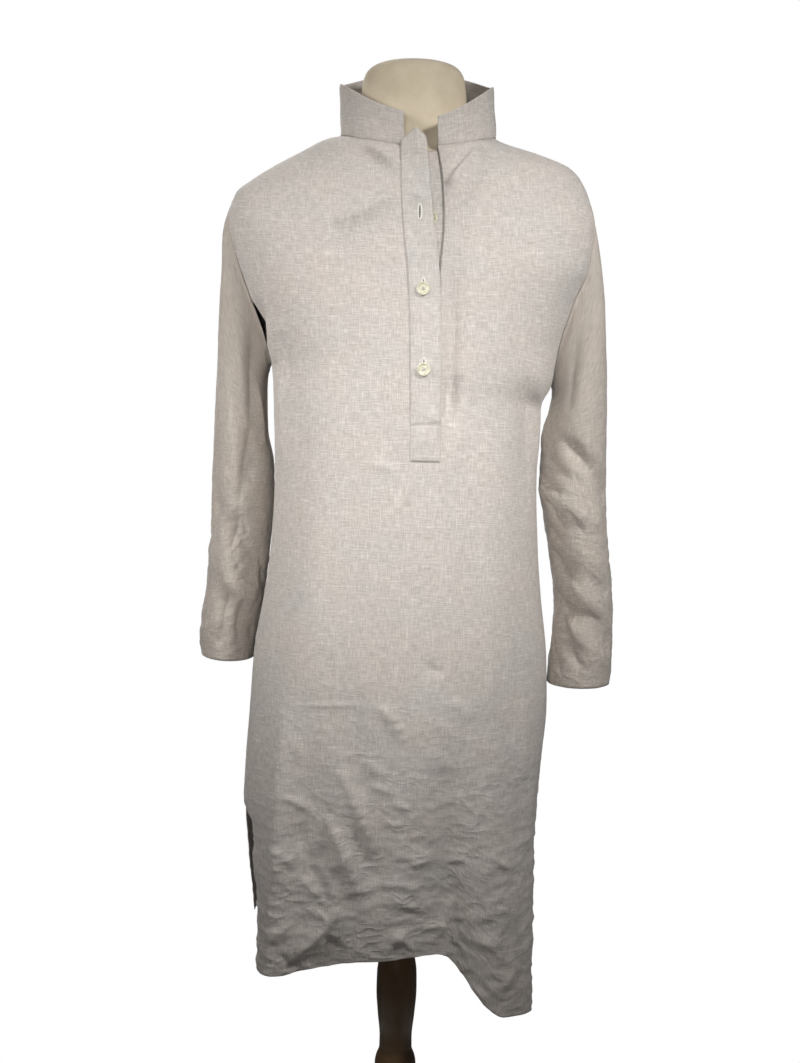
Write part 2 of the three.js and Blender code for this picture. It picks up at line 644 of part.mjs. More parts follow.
function formRing(height) {
  return evenly(0, 2 * Math.PI, FORM_COLUMNS).map((angle) => {
    const inset = formTorso(height);
    const [c, s] = [Math.cos(angle), Math.sin(angle)];
    const middle = s >= 0 ? inset.front : inset.back;
    const depth = CLOTH + inset.side * c * c + middle * s * s;
    const point = tubePoint(angle, height).addScaledVector(normalOf(tubePoint, angle, height), -depth);
    if (height === formTorsoRows[0]) point.z = height;
    return point;
  });
}
function neckRing([height, left, right, frontY, backY, tilt]) {
  return evenly(0, 2 * Math.PI, FORM_COLUMNS).map((angle) => {
    const [c, s] = [Math.cos(angle), Math.sin(angle)];
    const x = (left + right) / 2 - ((right - left) / 2) * c;
    const y = (frontY + backY) / 2 - ((backY - frontY) / 2) * s;
    return new THREE.Vector3(x, y, height - tilt * s * Math.abs(s));
  });
}
const dressForm = () => solidThrough([...formTorsoRows.map(formRing), ...neckRows.map(neckRing)]);

// The stand: a turned post under the form, in a round base. Each profile row is a radius and a height.
const turned = (profile, sides) =>
  new THREE.LatheGeometry(profile.map(([radius, height]) => new THREE.Vector2(radius, height)), sides)
    .rotateX(Math.PI / 2);
const BASE = { radius: 200, height: 26, edge: 6, raised: 60 };
const POST_TOP = formTorsoRows[0] - SEAM_GAP;
const [POST_SIDES, BASE_SIDES] = [20, 32];
const post = () =>
  turned(
    [
      [0, BASE.height + SEAM_GAP],
      [34, BASE.height + SEAM_GAP],
      [34, 44],
      [24, 60],
      [19, 110],
      [21, 190],
      [24.6, 240],
      [25.5, 268],
      [24, 277],
      [20.2, 288],
      [20, 302],
      [22.8, 332],
      [24.9, 362],
      [24.5, 385],
      [20, 414],
      [17.5, 430],
      [17.5, POST_TOP],
      [0, POST_TOP],
    ],
    POST_SIDES,
  );
const base = () =>
  turned(
    [
      [0, 0],
      [BASE.radius - BASE.edge, 0],
      [BASE.radius, BASE.edge],
      [BASE.radius, BASE.height - 2 * BASE.edge],
      [BASE.radius - 2 * BASE.edge, BASE.height - BASE.edge],
      [BASE.raised, BASE.height],
      [0, BASE.height],
    ],
    BASE_SIDES,
  );

const finishes = {
  linen: new THREE.MeshStandardMaterial({ color: 0xcfc6ba, roughness: 0.92, metalness: 0 }),
  button: new THREE.MeshStandardMaterial({ color: 0xe6e0c4, roughness: 0.35, metalness: 0 }),
  jersey: new THREE.MeshStandardMaterial({ color: 0xe2d8c0, roughness: 0.85, metalness: 0 }),
  wood: new THREE.MeshStandardMaterial({ color: 0x6e4524, roughness: 0.5, metalness: 0 }),
};
const dress = new THREE.Group();
const piece = (name, geometry, finish) => {
  const mesh = new THREE.Mesh(geometry, finishes[finish]);
  mesh.name = name;
  dress.add(mesh);
};
piece("front", frontPanel(), "linen");
piece("back", backPanel(), "linen");
piece("sleeve_left", sleeve("left"), "linen");
piece("sleeve_right", sleeve("right"), "linen");
piece("collar", collar(), "linen");
piece("placket_upper", upperStrip(), "linen");
piece("placket_lower", lowerStrip(), "linen");
piece("button_top", buttonAt(20.4, 1303, ON_LOWER_STRIP), "button");
piece("button_middle", buttonAt(13.7, 1216, ON_UPPER_STRIP), "button");
piece("button_low", buttonAt(16, 1124, ON_UPPER_STRIP), "button");
piece("dress_form", dressForm(), "jersey");
piece("post", post(), "wood");
piece("base", base(), "wood");

export default dress;
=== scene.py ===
import math

import bpy
import numpy as np
from mathutils import Euler, Matrix


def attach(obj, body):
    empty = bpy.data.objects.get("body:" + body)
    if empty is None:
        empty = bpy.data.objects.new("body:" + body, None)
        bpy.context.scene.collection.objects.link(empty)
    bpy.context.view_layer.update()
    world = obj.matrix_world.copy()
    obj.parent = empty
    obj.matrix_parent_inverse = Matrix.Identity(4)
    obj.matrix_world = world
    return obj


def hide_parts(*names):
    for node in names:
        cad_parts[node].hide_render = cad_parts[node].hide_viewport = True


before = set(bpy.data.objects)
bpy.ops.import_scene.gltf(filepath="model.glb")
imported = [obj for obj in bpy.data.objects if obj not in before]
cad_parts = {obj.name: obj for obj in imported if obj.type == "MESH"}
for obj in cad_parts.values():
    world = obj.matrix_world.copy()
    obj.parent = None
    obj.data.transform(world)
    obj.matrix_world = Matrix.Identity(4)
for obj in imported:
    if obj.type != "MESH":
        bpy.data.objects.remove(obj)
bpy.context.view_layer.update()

# The photograph's view: a camera at chest height, 1.7 m in front of the dress, tilted a little
# down and turned about a degree on its own axis.
CAMERA_PLACE, CAMERA_TILT, CAMERA_ROLL = (-0.00654, -1.700, 1.090), 5.302, 1.1
camera = bpy.data.objects.new("camera", bpy.data.cameras.new("camera"))
camera.data.lens = 48.0
camera.data.sensor_width = 36.0
tilted = Euler((math.radians(90 - CAMERA_TILT), 0, 0)).to_matrix()
rolled = Matrix.Rotation(math.radians(CAMERA_ROLL), 3, "Z")
camera.matrix_world = Matrix.Translation(CAMERA_PLACE) @ (tilted @ rolled).to_4x4()
bpy.context.scene.collection.objects.link(camera)
bpy.context.scene.camera = camera

# The front: one panel of mid-weight linen, cut with a slit for the placket and hemmed below.
# It is the front half of a tube of cross-sections, in mm from the floor, the same ones that
# the part's solids have, with its folds, crumples and pressed seams worked on top.
MM = 0.001
HEM, UNDERARM, SHOULDER_TIP, NECK = 430, 1130, 1325, 1395
HEM_SWAY_TOP = 720  # above it the hem's own line moves nothing
CLOTH_MM = 1.1


def smooth_table(names, rows):
    """Columns read at any height, by a cubic between two rows. The slope at a row is the harmonic
    mean of the slopes beside it, or nothing where they differ in sign, so it never overshoots."""
    rows = np.array(rows, float)
    keys, values = rows[:, 0], rows[:, 1:]
    step = np.diff(values, axis=0) / np.diff(keys)[:, None]
    slope = np.vstack([step[:1], np.zeros_like(step[1:]), step[-1:]])
    both = step[:-1] * step[1:]
    total = np.where(both > 0, step[:-1] + step[1:], 1)
    slope[1:-1] = np.where(both > 0, 2 * both / total, 0)

    def read(height):
        """All columns at these heights."""
        at = np.clip(np.asarray(height, float), keys[0], keys[-1])
        i = np.clip(np.searchsorted(keys, at, "right") - 1, 0, len(keys) - 2)
        span = (keys[i + 1] - keys[i])[..., None]
        t = (at - keys[i])[..., None] / span
        a, b, ma, mb = values[i], values[i + 1], slope[i] * span, slope[i + 1] * span
        out = a + t * ma + t**2 * (3 * (b - a) - 2 * ma - mb) + t**3 * (ma + mb - 2 * (b - a))
        return {name: out[..., k] for k, name in enumerate(names)}

    return read


body_section = smooth_table(
    ("left", "right", "front", "back", "squareness", "drop", "rise", "sag"),
    [
        (430, -181, 160, 108, 106, 2.3, 0, 0, 0),
        (530, -187, 162, 112, 108, 2.3, 0, 0, 0),
        (620, -190, 165, 116, 110, 2.3, 0, 0, 0),
        (725, -184, 175, 119, 112, 2.3, 0, 0, 0),
        (785, -180, 173, 121, 112, 2.3, 0, 0, 0),
        (860, -168, 164, 123, 108, 2.3, 0, 0, 0),
        (915, -161, 159, 125, 103, 2.3, 0, 0, 0),
        (1000, -157, 155, 128, 98, 2.35, 0, 0, 0),
        (1090, -159, 155, 131, 100, 2.4, 0, 0, 10),
        (1130, -162, 169, 131, 103, 2.5, 0, 0, 20),
        (1163, -172, 176, 130, 106, 2.6, 1, 0, 16),
        (1211, -193, 195, 127, 109, 2.7, 4, 0, 8),
        (1250, -207, 212, 123, 109, 2.8, 7, 1, 3),
        (1290, -216, 216, 116, 106, 2.7, 11, 4, 0),
        (1325, -207, 208, 108, 99, 2.5, 15, 8, 0),
        (1345, -184.5, 200, 101, 92, 2.3, 17, 12, 0),
        (1362, -157, 186, 94, 84, 2.2, 19, 15, 0),
        (1378, -128, 147, 87, 75, 2.1, 20, 18, 0),
        (1391, -103, 104, 81, 66, 2.1, 20, 20, 0),
        (1395, -85, 97, 78, 62, 2.1, 20, 20, 0),
    ],
)


def signed_power(value, power):
    """The value's size to a power, with the value's sign."""
    return np.sign(value) * np.abs(value) ** power


def smooth_step(t):
    """Goes from 0 to 1 as t does, level at both ends."""
    t = np.clip(t, 0, 1)
    return t * t * (3 - 2 * t)


def tube_point(angle, height):
    """A point of the tube. Round a section it is a superellipse, its half widths times the signed
    powers of the angle's cosine and sine. Its front drops, its back rises and its right side sags,
    each by the square of the sine or cosine. The angle is 0 at the left seam and 90 degrees in
    front."""
    ring = body_section(height)
    c, s = np.cos(angle), np.sin(angle)
    power = 2 / ring["squareness"]
    half = (ring["right"] - ring["left"]) / 2
    x = (ring["left"] + ring["right"]) / 2 - half * signed_power(c, power)
    y = -np.where(s >= 0, ring["front"], ring["back"]) * signed_power(s, power)
    z = height + np.where(s >= 0, -ring["drop"], ring["rise"]) * s * s
    return np.stack([x, y, z - np.where(c < 0, ring["sag"], 0) * c * c], -1)


def normal_of(surface, angle, height):
    """The outward normal of a surface of an angle and a height, from small steps each way."""
    turn, step = 2e-3, 0.4
    low, high = np.maximum(HEM, height - step), np.minimum(NECK, height + step)
    across = surface(angle + turn, height) - surface(angle - turn, height)
    normal = np.cross(across, surface(angle, high) - surface(angle, low))
    return normal / np.linalg.norm(normal, axis=-1, keepdims=True)


def angle_at_depth(depth, height, on_front):
    """Angle from the seam at which a section is this deep: the depth over the section's, to half
    the squareness, as an arc sine."""
    ring = body_section(height)
    share = np.abs(depth) / ring["front" if on_front else "back"]
    return np.arcsin(np.clip(share ** (ring["squareness"] / 2), 0, 1))


def angle_at_x(x, height):
    """Angle on the front at which a section passes this x, the reverse of tube_point's x."""
    ring = body_section(height)
    share = (2 * x - ring["left"] - ring["right"]) / (ring["right"] - ring["left"])
    return np.arccos(np.clip(-signed_power(share, ring["squareness"] / 2), -1, 1))


ARMHOLE_DEPTH = {"front": 54, "back": 58}
SEAM = 0.1  # half the line of shadow between two pieces that are sewn together


def armhole_depth(height, side):
    """How far the armhole's edge is from the seams' plane: half an ellipse from underarm to tip."""
    t = np.clip((height - UNDERARM) / (SHOULDER_TIP - UNDERARM), 0, 1)
    return np.maximum(SEAM, ARMHOLE_DEPTH[side] * 2 * np.sqrt(t * (1 - t)))


def folds_at(folds, x, z, swell=True):
    """Height of all folds at a place. Each is its depth times a bell curve of the distance from
    its line, and where swell is set times a parabola along it, 0 at both ends."""
    total = np.zeros(np.broadcast(x, z).shape)
    for x1, z1, x2, z2, width, depth in folds:
        dx, dz = x2 - x1, z2 - z1
        t = np.clip(((x - x1) * dx + (z - z1) * dz) / (dx * dx + dz * dz), 0, 1)
        away = np.hypot(x - x1 - t * dx, z - z1 - t * dz) / width
        total += depth * np.exp(-away * away) * (4 * t * (1 - t) if swell else 1)
    return total


front_folds = [
    # x1, z1, x2, z2, width, depth
    (-132, 770, -162, 130, 17, 10),
    (46, 720, 96, 130, 26, -14),
    (116, 720, 124, 130, 30, 9),
    (-70, 1374, -8, 1318, 11, -4),
    (84, 1372, 38, 1290, 12, 5),
    (52, 1300, 50, 1040, 10, -6),
    (-104, 700, -70, 400, 24, -7),
    (-60, 760, -24, 480, 22, -6),
    (20, 790, 44, 520, 25, 5),
    (-2, 600, -16, 360, 22, 5),
    (-95, 1130, -112, 740, 26, 5),
    (98, 1130, 110, 720, 28, 6),
    (126, 1160, 134, 960, 12, -2),
]
FRONT_HEM, FRONT_HEM_PEAK = 448.7, 33
LEFT_FALL, LEFT_WIDTH, LEFT_CURVE = 30.5, 170, 1.48
RIGHT_FALL, RIGHT_FROM, RIGHT_WIDTH = 75.5, 41, 86


def front_hem(x):
    """The front's hem line: highest right of the middle, down by a power curve to the left corner
    and by a smooth step to the right one."""
    left = np.clip((FRONT_HEM_PEAK - x) / LEFT_WIDTH, 0, 1) ** LEFT_CURVE
    right = smooth_step((x - RIGHT_FROM) / RIGHT_WIDTH)
    return FRONT_HEM - LEFT_FALL * left - RIGHT_FALL * right


VENT_TOP = 606
vent = smooth_table(
    ("forward", "back", "shift"),
    [(HEM, 54, 42, 17), (475, 38, 32, 19), (522, 20, 18, 15), (578, 6, 6, 12), (VENT_TOP, 0, 0, 0)],
)
FOLD_FADE = 0.04  # the square of the sine near which the folds fade into a side seam


def panel_point(angle, height, folds, hem, is_front):
    """A panel's point: the tube's, moved along its normal by the folds, which fade at the side
    seams, then up or down by the hem's line and apart at the vents, by the cosine to the fourth."""
    point = tube_point(angle, height)
    c, s = np.cos(angle), np.sin(angle)
    out = folds_at(folds, point[..., 0], point[..., 2]) * s * s / (s * s + FOLD_FADE)
    point = point + normal_of(tube_point, angle, height) * out[..., None]
    sway = np.clip((HEM_SWAY_TOP - height) / (HEM_SWAY_TOP - HEM), 0, 1) ** 2
    edge, open_by = c**4, vent(height)
    x, y, z = np.moveaxis(point, -1, 0)
    z = z + (hem(x) - HEM) * sway
    x = x + np.where(c > 0, open_by["shift"], 0) * edge * is_front
    y = y + (-open_by["forward"] if is_front else open_by["back"]) * edge
    return np.stack([x, y, z], -1)


def front_point(angle, height):
    """The front's own surface."""
    return panel_point(angle, height, front_folds, front_hem, True)


CREASE_LIFT = 2.5  # how much higher a crease stands than its table says


def creases_at(creases, x, z):
    """Height of all creases at a place. Each is a pinched ridge, its depth times the exponential
    of minus the distance to the power 1.25, with a width of its own on each side, on a line bowed
    by a parabola, and a power of a parabola along it thins it to nothing at both ends."""
    total = np.zeros(np.broadcast(x, z).shape)
    for x1, z1, x2, z2, bow, below, above, depth in creases:
        length = math.hypot(x2 - x1, z2 - z1)
        ux, uz = (x2 - x1) / length, (z2 - z1) / length
        t = ((x - x1) * ux + (z - z1) * uz) / length
        inside = np.clip(t, 0, 1)
        side = (z - z1) * ux - (x - x1) * uz - bow * 4 * inside * (1 - inside)
        away = np.hypot(side / np.where(side < 0, below, above), (t - inside) * length / below)
        thinned = (4 * inside * (1 - inside) + 0.02) ** 0.6
        total += CREASE_LIFT * depth * np.exp(-(away**1.25)) * thinned
    return total


front_creases = [
    # x1, z1, x2, z2, bow, width below or right, width above or left, height
    (-28, 748, 4, 703, 3, 5, 3.5, 2.4),
    (-66, 660, -24, 553, 4, 8, 4.5, 4.4),
    (-84, 612, -46, 524, 3, 8, 4.5, 3.9),
    (-127, 437, -66, 503, -5, 9, 15, 6.0),
    (-65, 525, -18, 533, -4, 5, 9, 1.5),
    (-24, 534, 27, 526, 4, 5, 8, 1.3),
    (-124, 739, -41, 745, 0, 2.4, 2.4, 0.7),
    (-70, 667, -60, 656, 0, 4, 3.5, 1.8),
    (-135, 631, -102, 613, 3, 5, 4, 1.6),
    (-33, 650, -5, 640, 2, 5, 4, 1.4),
    (-6, 635, 10, 625, -2, 4, 4, 1.8),
    (-16, 606, 4, 603, 2, 4, 4, 1.2),
    (14, 556, 38, 565, 2, 5, 7, 1.6),
    (49, 557, 82, 558, 3, 4, 8, 1.3),
    (104, 570, 135, 546, -3, 4, 5, 2.0),
    (-11, 482, 20, 453, 2, 5, 5, 2.4),
    (10, 481, -17, 450, -2, 5, 5, 2.1),
    (50, 494, 70, 516, 2, 5, 6, 1.8),
    (36, 462, 60, 505, -3, 6, 5, 2.2),
    (-144, 568, -121, 547, 2, 5, 5, 2.0),
    (-143, 570, -133, 527, -2, 5, 5, 1.8),
    (-147, 459, -120, 484, 2, 6, 7, 2.2),
    (-52, 494, -3, 518, 3, 6, 8, 1.2),
    (-5, 517, 33, 499, 2, 5, 7, 1.1),
    (-80, 475, -52, 457, 2, 5, 5, 1.6),
    (68, 475, 49, 443, 2, 6, 5, 1.8),
    (-116, 533, -92, 514, 2, 6, 6, 1.5),
    (-110, 503, -78, 491, -2, 5, 7, 1.6),
    (24, 478, 56, 481, 3, 5, 6, 1.7),
    (83, 476, 115, 457, -3, 6, 6, 1.7),
    (118, 525, 139, 470, 3, 6, 6, 1.8),
    (138, 440, 120, 403, 3, 6, 6, 1.6),
    (90, 410, 106, 385, 2, 5, 5, 1.5),
    (-57, 574, -81, 547, 2, 6, 6, 1.6),
    (-129, 699, -116, 674, 2, 6, 6, 1.0),
    (31, 696, 51, 668, 3, 7, 6, 1.2),
    (-42, 682, -17, 662, -2, 6, 6, 1.1),
    (53, 753, 78, 727, 2, 7, 7, 1.0),
    (136, 748, 140, 648, 4, 9, 9, 1.6),
    (25, 793, 46, 783, -2, 5, 5, -1.8),
    (-37, 1020, -15, 1010, 1, 4, 4, 1.0),
    (-9, 1330, -88, 1284, 6, 5, 12, 3.6),
    (-60, 1378, -13, 1339, 5, 3.5, 8, 2.6),
    (59, 1365, 44, 1348, 1, 4, 4, -2.4),
    (74, 1372, 32, 1296, -5, 5, 10, 4.6),
    (40, 1290, 47, 1080, 4, 7, 6, -1.8),
    (48, 1118, 46, 1064, 0, 9, 7, -3.0),
    (-176, 1200, -172, 1150, 3, 6, 6, -3.0),
    (-162, 1180, -153, 1130, 2, 6, 6, 2.4),
    (-149, 1165, -140, 1096, 4, 7, 8, -2.2),
    (-150, 1120, -144, 1010, 4, 8, 8, 2.0),
    (147, 1135, 149, 1012, 2, 6, 6, 1.8),
    (138, 1120, 141, 1000, -3, 8, 8, -1.2),
    (-92, 560, -60, 470, 4, 12, 10, 3.0),
    (-40, 600, -20, 500, 3, 12, 12, -2.0),
    (-120, 600, -96, 520, 3, 12, 12, -2.0),
    (150, 700, 148, 560, 3, 10, 10, 1.6),
    (-136, 740, -160, 150, 2, 22, 8, 1.7),
]


NOISE_CORNERS, NOISE_SHIFT = 64, (100.3, 100.7)


def lattice_noise(x, z, cell, seed):
    """Soft noise from -1 to 1: each corner of a lattice has a slope of its own from a seeded table,
    and between corners the slopes are blended by a smooth step."""
    slopes = np.random.default_rng(seed).normal(size=(NOISE_CORNERS, NOISE_CORNERS, 2))
    slopes /= np.linalg.norm(slopes, axis=-1, keepdims=True)
    px, pz = x / cell + NOISE_SHIFT[0], z / cell + NOISE_SHIFT[1]
    ix, iz = np.floor(px).astype(int), np.floor(pz).astype(int)
    fx, fz = px - ix, pz - iz

    def corner(a, b):
        """What the slope of one of the four corners gives here."""
        slope = slopes[(ix + a) % NOISE_CORNERS, (iz + b) % NOISE_CORNERS]
        return slope[..., 0] * (fx - a) + slope[..., 1] * (fz - b)

    wx, wz = smooth_step(fx), smooth_step(fz)
    low = corner(0, 0) * (1 - wx) + corner(1, 0) * wx
    high = corner(0, 1) * (1 - wx) + corner(1, 1) * wx
    return 1.5 * (low * (1 - wz) + high * wz)


CRUSH_ACROSS = 0.7  # wrinkles are this much closer together upwards than across
BEND, BEND_SIZE, SWELL, SWELL_SIZE = 9, 38, 0.4, 70
WRINKLES = [
    # size, seed, softness of the ridge, height
    (44, 0, 0.001, 0.6),
    (21, 1, 0.002, 0.7),
    (12, 3, 0.004, 0.5),
]


def crumple(x, z, seed):
    """Crushed linen, from about 0 to 2: 1 minus the size of soft noise, cubed, makes a web of
    narrow ridges, longer across than up, laid in three sizes over a gentle swell."""
    bent = CRUSH_ACROSS * x + BEND * lattice_noise(x, z, BEND_SIZE, seed + 5)
    total = 0.0
    for size, own_seed, softness, height in WRINKLES:
        noise = lattice_noise(bent, z, size, seed + own_seed)
        total = total + height * (1 - np.sqrt(noise**2 + softness)) ** 3
    return total + SWELL * lattice_noise(x, z, SWELL_SIZE, seed + 2)


HEM_BAND = 11
HEM_STITCH = HEM_BAND - 1.6  # the stitching's distance from a turned edge
HEM_STEP, HEM_GROOVE, GROOVE_WIDTH, HEM_PUCKER = 0.55, 0.45, 0.9, 0.5
HEM_PUCKER_SIZE, HEM_PUCKER_FADE = 9, 14
SEAM_ROLL, ROLL_WIDTH = 0.5, 1.9
PUCKER, PUCKER_SIZE, PUCKER_FADE = 0.35, 13, 9


def ridge(distance, width):
    """A bell curve: the exponential of minus the square of a distance over its width."""
    return np.exp(-((distance / width) ** 2))


def worked(distance, seed, along):
    """Height of a sewn edge at a distance from it: it rolls in over 2 mm, and the thread gathers
    it in small uneven puckers that fade over 9 mm."""
    uneven = PUCKER * lattice_noise(along, along * 0, PUCKER_SIZE, seed)
    return -SEAM_ROLL * ridge(distance, ROLL_WIDTH) + uneven * np.exp(-distance / PUCKER_FADE)


def hem_band(distance, along, seed):
    """Height of a turned and stitched hem: a step as high as two more layers over its band, with
    a narrow groove where the stitches pull it down, and slight puckers along the band."""
    step = HEM_STEP * smooth_step((HEM_BAND + 1.2 - distance) / 2.4)
    groove = -HEM_GROOVE * ridge(distance - HEM_STITCH, GROOVE_WIDTH)
    pucker = HEM_PUCKER * lattice_noise(along, distance * 0.4, HEM_PUCKER_SIZE, seed)
    return step + groove + pucker * np.exp(-distance / HEM_PUCKER_FADE)


CRUSHED_TO = 750  # below it are the crumples, so the rows are closer together
PANEL_ROWS = {"hem": 12, "crushed": 140, "skirt": 88, "armhole": 60, "shoulder": 26}


def stitched_rows():
    """Heights of the panels' rows: close together over the hem and up to where the crumples end,
    wider up the skirt, then by a cosine up the armhole so that its round edge is evenly divided,
    and even over the shoulder."""
    stops = {"hem": HEM, "crushed": HEM + 15, "skirt": CRUSHED_TO, "armhole": UNDERARM}
    low = [
        np.linspace(stops[part], stops[over], PANEL_ROWS[part], endpoint=False)
        for part, over in (("hem", "crushed"), ("crushed", "skirt"), ("skirt", "armhole"))
    ]
    turn = np.linspace(0, np.pi, PANEL_ROWS["armhole"], endpoint=False)
    armhole = UNDERARM + (1 - np.cos(turn)) / 2 * (SHOULDER_TIP - UNDERARM)
    return np.concatenate([*low, armhole, np.linspace(SHOULDER_TIP, NECK, PANEL_ROWS["shoulder"])])


def running_length(points, axis):
    """Distance covered along rows or columns of points, from the first."""
    step = np.linalg.norm(np.diff(points, axis=axis), axis=-1)
    start = np.zeros_like(np.take(step, [0], axis))
    return np.concatenate([start, np.cumsum(step, axis)], axis)


def closed(grid):
    """A grid with its first column once more after its last."""
    return np.concatenate([grid, grid[:, :1]], 1)


def mesh_object(name, points, faces, material):
    """A smooth object of one material, from points in mm and faces that number them."""
    mesh = bpy.data.meshes.new(name)
    mesh.from_pydata((points.reshape(-1, 3) * MM).tolist(), [], faces.tolist())
    mesh.shade_smooth()
    mesh.materials.append(material)
    piece = bpy.data.objects.new(name, mesh)
    bpy.context.scene.collection.objects.link(piece)
    return piece


def grid_object(name, points, across, along, material, left_out=None, wrap=False, flip=False):
    """A mesh over rows and columns of points in mm. Each four neighbours are a face, turned
    outwards, apart from those left out. The places in the cloth, in metres, are its UV map."""
    index = np.arange(points[..., 0].size).reshape(points.shape[:2])

    def faces_of(grid):
        """What a grid holds at the four corners of each face."""
        corners = [grid[:-1, :-1], grid[:-1, 1:], grid[1:, 1:], grid[1:, :-1]]
        quads = np.stack(corners[::-1] if flip else corners, 2)
        return quads if left_out is None else quads[~left_out][None]

    quads = faces_of(closed(index) if wrap else index).reshape(-1, 4)
    piece = mesh_object(name, points, quads, material)
    uv = piece.data.uv_layers.new(name="cloth")
    places = faces_of(np.stack([across, along], -1))
    uv.data.foreach_set("uv", places.reshape(-1).astype(np.float32))
    return piece


def thicken(piece, thickness):
    """Gives a surface its cloth's thickness, inwards, with closed edges."""
    solid = piece.modifiers.new("cloth", "SOLIDIFY")
    solid.thickness = thickness * MM
    solid.offset = -1
    solid.use_even_offset = False


def link(tree, source, socket, target, name):
    """Joins one node's socket to another's, named or counted from 0."""
    tree.links.new(source.outputs[socket], target.inputs[name])


def node(tree, kind, **inputs):
    """A shader node of a kind, with its settings and its sockets' values."""
    made = tree.nodes.new("ShaderNode" + kind)
    for name, value in inputs.items():
        if hasattr(made, name):
            setattr(made, name, value)
        else:
            made.inputs[name.replace("_", " ")].default_value = value
    return made


def new_material(name, **sockets):
    """A material, its node tree and its shader, with these values on the shader's sockets."""
    material = bpy.data.materials.new(name)
    material.use_nodes = True
    tree = material.node_tree
    shader = tree.nodes["Principled BSDF"]
    for socket, value in sockets.items():
        shader.inputs[socket.replace("_", " ")].default_value = value
    return material, tree, shader


def tones(tree, dark, light, low=0.0, high=1.0):
    """A ramp from a dark tone at low to a light one at high."""
    ramp = node(tree, "ValToRGB")
    for stop, tone, place in zip(ramp.color_ramp.elements, (dark, light), (low, high)):
        stop.color, stop.position = (*tone, 1), place
    return ramp


